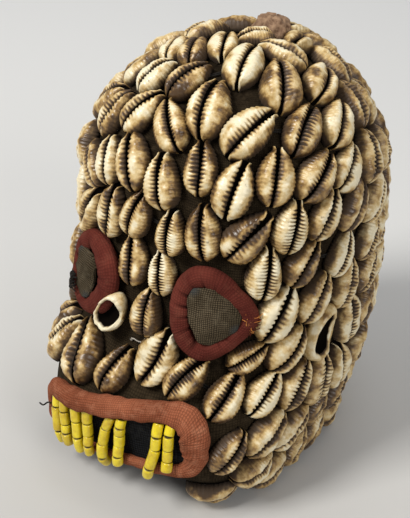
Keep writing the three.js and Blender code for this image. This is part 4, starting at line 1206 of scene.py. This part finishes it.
def build_ring(eye, spot):
    # A stuffed tube of cloth, puckered on its inner side.
    sign, half_width, half_height = eye["sign"], eye["half_width"], eye["half_height"]

    def section(i, steps):
        t = 2 * math.pi * i / steps
        out = np.array([math.cos(t), math.sin(t)])
        share = ring_share(t, eye["corners"], eye["tip"])
        folds = math.sin(15 * t + 2.2 * math.sin(2 * t + sign) + sign)
        depth = 0.35 + 0.65 * max(0.0, math.cos(t - 2.9)) ** 0.7 + 0.3 * math.sin(5 * t)
        pucker = max(0.0, folds) ** 1.5 * depth
        fat = EYE_ROLL_RADIUS * (1.05 + 0.05 * math.sin(4 * t + sign) + 0.06 * math.cos(t - 1.9))
        spread = eye["spread"] * max(0.0, math.cos(t)) ** 0.7
        a = half_width * out[0] * share - spread * out[0]
        b = half_height * out[1] * share - spread * out[1]
        centre = spot.cloth(a, b, EYE_ROLL_RADIUS * 0.95 + 0.3)
        away = unit(spot.side * (out[0] / half_width) + spot.rise * (out[1] / half_height))

        def skin(c):
            inner = 0.5 - 0.5 * math.cos(c)
            dent = pucker * (0.15 + 0.85 * inner**1.3)
            lump = 0.12 * math.sin(7 * t + 3 * c) + 0.1 * math.sin(13 * t - 2 * c + sign)
            r = fat * (1 + 0.02 * lump) - 0.75 * dent + lump * 0.5
            # The third value darkens the puckers as painted shade.
            return (r + spread) * math.cos(c), 0.96 * r * math.sin(c), 1.1 * dent

        return centre, away, spot.n, fat, skin

    name = eye["name"]
    stuffed_tube(name + "_eye_roll", name + "_eye_ring", "eye_ring_cloth", EYE_FELT, 224, 28, section)


def build_patch(eye, spot):
    # A rippled sheet over the ring's opening, with its edge turned under and two corners faded.
    rings, around = 22, 120
    sign, corners = eye["sign"], eye["patch"]
    turns = circle(around)
    middle, reach = patch_reach(corners, turns)
    a, b, h, faded = [], [], [], []
    for i in range(rings):
        share = min(1.0, (i + 0.03) / (rings - 2))
        under = 1.0 if i == rings - 1 else 0.0
        for j, t in enumerate(turns):
            x = middle[0] + reach[j] * (share + 0.012 * under) * math.cos(t)
            y = middle[1] + reach[j] * (share + 0.012 * under) * math.sin(t)
            ripple = 0.3 * math.sin(0.55 * x + 0.3 * y + sign) + 0.22 * math.sin(0.7 * y - 0.2 * x)
            fold = 0.35 * math.sin(7 * t + 2 * sign) * share**4
            corner = 0
            for k in FADED_CORNERS:
                corner += math.exp(-(((x - corners[k][0]) ** 2 + (y - corners[k][1]) ** 2) / 9))
            rise = eye["patch_rise"] + 0.9 * (1 - share**2) + ripple * (1 - 0.6 * share)
            a.append(x)
            b.append(y)
            h.append(rise + fold + 0.5 * corner - 1.1 * under)
            faded.append(min(1.0, corner))
    a, b, h = map(np.array, (a, b, h))
    faces = capped_faces(rings, around, low=True)
    values = {"weft": a * MM, "warp": b * MM, "faded": faded}
    cloth = mesh_object(eye["name"] + "_eye_patch", spot.cloth(a, b, h), faces, EYE_CLOTH, values)
    dress(cloth, "eye_cloth", eye["name"] + "_eye_cloth")


def thread_ends(name, eye, at, way, count, length, spread, radius, material, lift):
    # A tuft of loose thread ends that lie over the ring.
    spot = eye_spot(eye)
    s = np.linspace(0, 1, 7)
    lines = []
    for k in range(count):
        turn = way + spread * (chance(31 * k + 5) - 0.5)
        reach = length * (0.5 + 0.5 * chance(17 * k + 2))
        bend = 1.4 * (chance(7 * k + 9) - 0.5)
        a = at[0] + 2.6 * (chance(k + 0.2) - 0.5) + reach * s * np.cos(turn + bend * s)
        b = at[1] + 6 * (chance(k + 0.4) - 0.5) + reach * s * np.sin(turn + bend * s)
        h = lift + 1.2 * np.sin(math.pi * s) * chance(k + 0.6) - 1.6 * s
        lines.append(spot.cloth(a, b, h))
    strands(name, lines, radius, material, "eye_ring_cloth")


def pale_thread_end():
    # A short end of pale sewing thread that lies below the middle shell of the nose.
    s = np.linspace(0, 1, 14)
    phi = (-4.6 + 5.4 * s + 0.3 * np.sin(9 * s)) * RAD
    v = 69.4 + 0.6 * s + 0.25 * np.sin(7 * s) + 1.8 * np.maximum(0, s - 0.8) / 0.2
    spot = Spot(phi, v)
    line = spot.p + times(spot.n, 0.5 + 0.5 * np.sin(math.pi * s))
    curl = line[0] + np.stack([np.sin(5 * s) * 0.5, -0.2 * s, np.cos(5 * s) * 0.5 - 0.5], axis=-1)
    strands("pale_thread_end", [line, curl], 0.3, PALE_THREAD, "hood_cloth")


# Mouth
# The lips lose this share of their radius at the mask's right end, and spread by this much at its left.
THIN_SHARE, THIN_FROM, THIN_OVER = 0.38, 29, 11
WIDE_BY, WIDE_FROM, WIDE_OVER = 2.3, 24, 14


def build_lips():
    # A stuffed tube of cloth that thins towards the mask's right end.
    def section(i, steps):
        share = i / steps
        a, b, out = mouth_path(share)
        radius = lip_radius(b) * (1 - THIN_SHARE * float(soft_step((-a - THIN_FROM) / THIN_OVER)))
        turn = 2 * math.pi * share
        corner = abs(a) / MOUTH_HALF_WIDTH
        # The roll lies flat and wide where it turns at the mask's left.
        wide_end = float(soft_step((a - WIDE_FROM) / WIDE_OVER))
        flat = WIDE_BY * wide_end * (0.35 + 0.65 * float(soft_step((b + 14) / 10)))
        plump = 1.03 + 0.035 * math.sin(9 * turn) + 0.025 * math.sin(31 * turn + 1)
        rise = radius * LIP_FLATNESS * (1.05 - 0.03 * flat)
        centre, n = mouth_point(a - out[0] * flat, b - out[1] * flat, rise + 0.25)
        beyond, _ = mouth_point(a - out[0] * (flat - 1), b - out[1] * (flat - 1), rise + 0.25)
        pucker = (0.5 + 0.5 * math.sin(40 * turn + 2 * math.sin(5 * turn))) * max(0, corner - 0.45) * 1.5

        def skin(c):
            inner = max(0.0, -math.cos(c))
            dent = 0.45 * pucker * (0.2 + 0.8 * inner)
            lump = 0.16 * math.sin(13 * turn + 2 * c) + 0.12 * math.sin(23 * turn - 3 * c)
            across = (radius + flat) * plump - dent + lump
            up = rise * plump - dent + lump
            # A flattened top and a sharper edge than a round tube has.
            bulge = abs(math.sin(c)) ** 0.85 * math.copysign(1, math.sin(c))
            # The third value darkens the puckers as painted shade.
            return across * math.cos(c), up * bulge, dent * 1.3

        return centre, unit(beyond - centre), n, radius, skin

    stuffed_tube("mouth_lips", "mouth_roll", "mouth_roll_cloth", MOUTH_FELT, 400, 32, section)


def build_backing():
    # The dark cloth between the lips, with its edge under them.
    rings, around = 16, 160
    points, weft, warp = [], [], []
    for i in range(rings):
        share = (i + 0.03) / (rings - 1)
        for j in range(around):
            a, b, out = mouth_path(j / around)
            inset = lip_radius(b) * 0.4
            a2 = (a - out[0] * inset) * share
            b2 = (b - out[1] * inset) * share
            h = 1.3 + 0.3 * math.sin(a2 / 3.3) * math.cos(b2 / 4) + 0.7 * share**5
            points.append(mouth_point(a2, b2, h)[0])
            weft.append(a2 * MM)
            warp.append(b2 * MM)
    faces = capped_faces(rings, around, low=True)
    cloth = mesh_object("mouth_backing", points, faces, MOUTH_CLOTH, {"weft": weft, "warp": warp})
    dress(cloth, "mouth_cloth", "mouth_cloth")


def mouth_thread_end():
    # A dark thread end that sticks out at the mask's right end of the mouth.
    line = []
    for i in range(8):
        line.append(mouth_point(-38 - 0.9 * i, 2.5 - 0.5 * i + 0.6 * math.sin(i), 4.4 + 0.5 * i)[0])
    strands("mouth_thread_end", [line], 0.4, THREAD, "mouth_cloth")


# Teeth: each string comes out from under the upper lip and lies over the lower one, down to its far edge.
# Heights up from the mouth's middle, how far off the cloth a string is there, and how some strings bow.
STRING_TOP = 9.4
STRING_SPAN = 18.9
STRING_UP = [STRING_TOP, 6.5, 2.0, -3.0, -7.5, -11.0, -14.0, -15.6]
STRING_LIFT = [3.0, 3.9, 4.1, 4.5, 6.0, 7.2, 6.6, 5.0]
STRING_BOW = {"tooth_string_5": -2.4, "tooth_string_6": -0.6, "tooth_string_7": 1.5}


def tooth_line(name, top, bottom, end):
    # The middle line of one string, as evenly spaced points.
    up = np.linspace(STRING_TOP, end, 9)
    lift = smooth_curve([-x for x in STRING_UP], STRING_LIFT)(-up)
    share = (STRING_TOP - up) / STRING_SPAN
    bow = STRING_BOW.get(name, 0.0)
    points = []
    for k in range(len(up)):
        a = top + (bottom - top) * share[k] + bow * math.sin(math.pi * min(1, share[k] / 1.3))
        points.append(mouth_point(a, up[k], float(lift[k]))[0])
    points = np.array(points)
    knots = run_of(points)
    s = np.linspace(0, knots[-1], 90)
    line = np.stack([smooth_curve(knots, points[:, k])(s) for k in range(3)], axis=-1)
    for _ in range(30):
        line[1:-1] = 0.25 * line[:-2] + 0.5 * line[1:-1] + 0.25 * line[2:]
    return line


BEAD_SIDES = 22
BEAD_GAP = 0.1
# From a bead's end inwards: how far along, its radius as a share, and how dark it is, partly soiling and
# partly painted shade where the beads meet.
BEAD_END = [(0, 0.4, 1.0), (0, 0.74, 0.8), (0.14, 0.9, 0.4), (0.4, 0.98, 0.1), (0.9, 1.0, 0.0)]


def build_string(k, name, top, bottom, beads, end):
    line = tooth_line(name, top, bottom, end)
    knots = run_of(line)
    _, n = mouth_point((top + bottom) / 2, -2.0, 0.0)

    def at(t):
        return np.array([np.interp(t, knots, line[:, i]) for i in range(3)])

    cuts = [0]
    for b in range(beads):
        cuts.append(cuts[-1] + 1 + 0.6 * (chance(10 * k + b) - 0.5))
    cuts = np.array(cuts) / cuts[-1] * knots[-1]
    profile = []
    for b in range(beads):
        low, high = cuts[b] + BEAD_GAP, cuts[b + 1] - BEAD_GAP
        wide = BEAD_RADIUS * (0.99 + 0.12 * (chance(k * 7 + b) - 0.5))
        profile += [(low + t, r * wide, d, b) for t, r, d in BEAD_END]
        profile += [(low + t * (high - low), wide * 1.015, 0.0, b) for t in (0.3, 0.5, 0.7)]
        profile += [(high - t, r * wide, d, b) for t, r, d in reversed(BEAD_END)]
    points, dirt_and_shade, tint = [], [], []
    for t, r, d, b in profile:
        # Every bead is straight, so its rings all share the way its own middle runs.
        low, high = cuts[b], cuts[b + 1]
        first, last = at(low), at(high)
        axis = unit(last - first)
        centre = first + axis * (np.linalg.norm(last - first) * (t - low) / (high - low))
        centre = 0.6 * centre + 0.4 * at(t)
        tilt = 0.12 * (chance(k * 11 + b + 3) - 0.5)
        across = unit(np.cross(axis, n))
        front = np.cross(across, axis)
        shift = 0.5 * tilt * (t - (low + high) / 2) + 0.25 * (chance(k * 5 + b) - 0.5)
        centre = centre + across * shift
        for c in circle(BEAD_SIDES):
            points.append(centre - across * (r * math.cos(c)) - front * (r * math.sin(c)))
            dirt_and_shade.append(d)
            tint.append(chance(k * 13 + b))
    faces = grid_faces(len(profile), BEAD_SIDES, closed_columns=True)
    obj = mesh_object(name + "_beads", points, faces, BEAD, {"dirt_and_shade": dirt_and_shade, "tint": tint})
    dress(obj, "bead", name)


# Crown lump
def build_lump():
    # A coarse knot beside the crown.
    spot = Spot(CROWN_LUMP["angle"] * RAD, CROWN_LUMP["height"])
    rings, sides = 22, 48
    a, b, h = [], [], []
    for i in range(rings):
        s = i / (rings - 1)
        tall = 1.2 * CROWN_LUMP["rise"] * math.sin(s * math.pi / 2)
        wide = 1.15 * CROWN_LUMP["radius"] * max(0.02, math.cos(s * math.pi / 2) ** 0.55)
        for j, t in enumerate(circle(sides)):
            bump = 0.07 * math.sin(3 * t + 0.8) + 0.065 * math.sin(7 * t + 5 * s)
            bump += 0.055 * math.sin(11 * t - 9 * s) + 0.07 * (chance(j * 3.1 + i * 7.7) - 0.5)
            r = wide * (1 + bump)
            a.append(r * math.cos(t))
            b.append(0.84 * r * math.sin(t))
            h.append(0.5 + tall * (0.95 + 0.5 * bump))
    p = spot.cloth(np.array(a), np.array(b), np.array(h))
    faces = capped_faces(rings, sides, high=True)
    material = plain_material("lump", (0.13, 0.065, 0.032), 0.8, grain=420, second=(0.36, 0.225, 0.13))
    dress(mesh_object("crown_knot", p, faces, material), "lump", "crown_lump")


# Camera at the photograph's angle, in degrees, millimetres and pixels
CAMERA_AZIMUTH = 30.54
CAMERA_ELEVATION = 27.57
CAMERA_ROLL = 3.65
CAMERA_DISTANCE = 545.6
AIM_HEIGHT = 102.5
FOCAL_PIXELS = 1133.3
CENTRE_X, CENTRE_Y = 237.0, 214.8
FRAME_WIDTH, FRAME_HEIGHT = 410, 518
SENSOR = 36


def build_camera():
    a, e, roll = CAMERA_AZIMUTH * RAD, CAMERA_ELEVATION * RAD, CAMERA_ROLL * RAD
    back = Vector((math.sin(a) * math.cos(e), -math.cos(a) * math.cos(e), math.sin(e)))
    right = Vector((math.cos(a), math.sin(a), 0))
    up = back.cross(right)
    right2 = right * math.cos(roll) + up * math.sin(roll)
    up2 = up * math.cos(roll) - right * math.sin(roll)
    data = bpy.data.cameras.new("camera")
    camera = bpy.data.objects.new("camera", data)
    bpy.context.scene.collection.objects.link(camera)
    aim = (0, HOOD_MIDDLE, AIM_HEIGHT)
    rows = [(right2[k], up2[k], back[k], back[k] * CAMERA_DISTANCE * MM + aim[k] * MM) for k in range(3)]
    camera.matrix_world = Matrix((*rows, (0, 0, 0, 1)))
    data.sensor_width = SENSOR
    data.sensor_fit = "AUTO"
    data.lens = FOCAL_PIXELS / FRAME_HEIGHT * SENSOR
    data.shift_x = -(CENTRE_X - FRAME_WIDTH / 2) / FRAME_HEIGHT
    data.shift_y = -(FRAME_HEIGHT / 2 - CENTRE_Y) / FRAME_HEIGHT
    data.clip_start = 0.01
    data.clip_end = 50
    bpy.context.scene.camera = camera


# Light: each lamp's place in metres, its size, power and colour
LAMPS = [
    ("key", (-0.5, -0.9, 1.15), 0.5, 20.0, (1.0, 0.985, 0.955)),
    ("fill", (1.25, -0.55, 0.8), 0.7, 8.0, (1.0, 0.99, 0.97)),
    ("top", (0.0, 0.5, 1.5), 0.8, 5.0, (1.0, 1.0, 1.0)),
]
SKY_COLOUR = (0.93, 0.95, 1.0, 1)
SKY_STRENGTH = 0.27
FLOOR_REACH = 3000
FLOOR_DROP = 0.2


def build_light():
    scene = bpy.context.scene
    world = bpy.data.worlds.new("studio")
    world.use_nodes = True
    sky = world.node_tree.nodes["Background"]
    sky.inputs[0].default_value = SKY_COLOUR
    sky.inputs[1].default_value = SKY_STRENGTH
    scene.world = world
    for name, at, size, power, colour in LAMPS:
        data = bpy.data.lights.new(name, "AREA")
        data.shape = "SQUARE"
        data.size = size
        data.energy = power
        data.color = colour
        lamp = bpy.data.objects.new(name, data)
        lamp.location = at
        lamp.rotation_euler = (Vector((0, 0, 0.1)) - Vector(at)).to_track_quat("-Z", "Y").to_euler()
        scene.collection.objects.link(lamp)
    corners = [(-1, -1), (1, -1), (1, 1), (-1, 1)]
    points = [(x * FLOOR_REACH, y * FLOOR_REACH, -FLOOR_DROP) for x, y in corners]
    mesh_object("floor", points, [(0, 1, 2, 3)], painted_falloff_floor_material())
    scene.view_settings.view_transform = "Standard"
    scene.view_settings.look = "None"
    scene.view_settings.exposure = 0
    scene.view_settings.gamma = 1


# The broken shell on the nose, in degrees and millimetres
NOSE_ANGLE = -11.4
NOSE_HEIGHT = 81
NOSE_LIFT = 2.0
NOSE_LENGTH_SHARE = 0.92
NOSE_WIDTH_SHARE = 0.8

# Tufts of thread ends: name, eye, where along and up from its middle, the way they point in radians, their
# number and length, how far they spread, their radius, material and height over the cloth.
TUFTS = [
    ("frayed_ends", LEFT_EYE, (17, -0.5), 0.1, 64, 4.6, 4.4, 0.15, FRAYED, 8.6),
    ("frayed_red_ends", LEFT_EYE, (17.2, -1.5), -0.2, 80, 4.6, 4.6, 0.2, EYE_FELT, 8.4),
    ("dark_knot", RIGHT_EYE, (-10, -8), 2.6, 34, 2.8, 5.5, 0.32, THREAD, 11),
]

build_camera()
build_light()
shells = settle(place_shells())
fill_gaps(shells)
# The broken shell on the nose is sewn on over the foot of the ring beside it.
for shell in shells:
    if shell["group"] == "broken_nose_shell":
        shell.update(phi=NOSE_ANGLE * RAD, v=NOSE_HEIGHT, lift=NOSE_LIFT)
        shell["length"] *= NOSE_LENGTH_SHARE
        shell["width"] *= NOSE_WIDTH_SHARE
build_hood()
build_shells(shells)
build_threads(shells)
for eye in (RIGHT_EYE, LEFT_EYE):
    build_ring(eye, eye_spot(eye))
    build_patch(eye, eye_spot(eye))
for tuft in TUFTS:
    thread_ends(*tuft)
pale_thread_end()
build_lips()
build_backing()
for k, row in enumerate(TOOTH_STRINGS):
    build_string(k, *row)
mouth_thread_end()
build_lump()
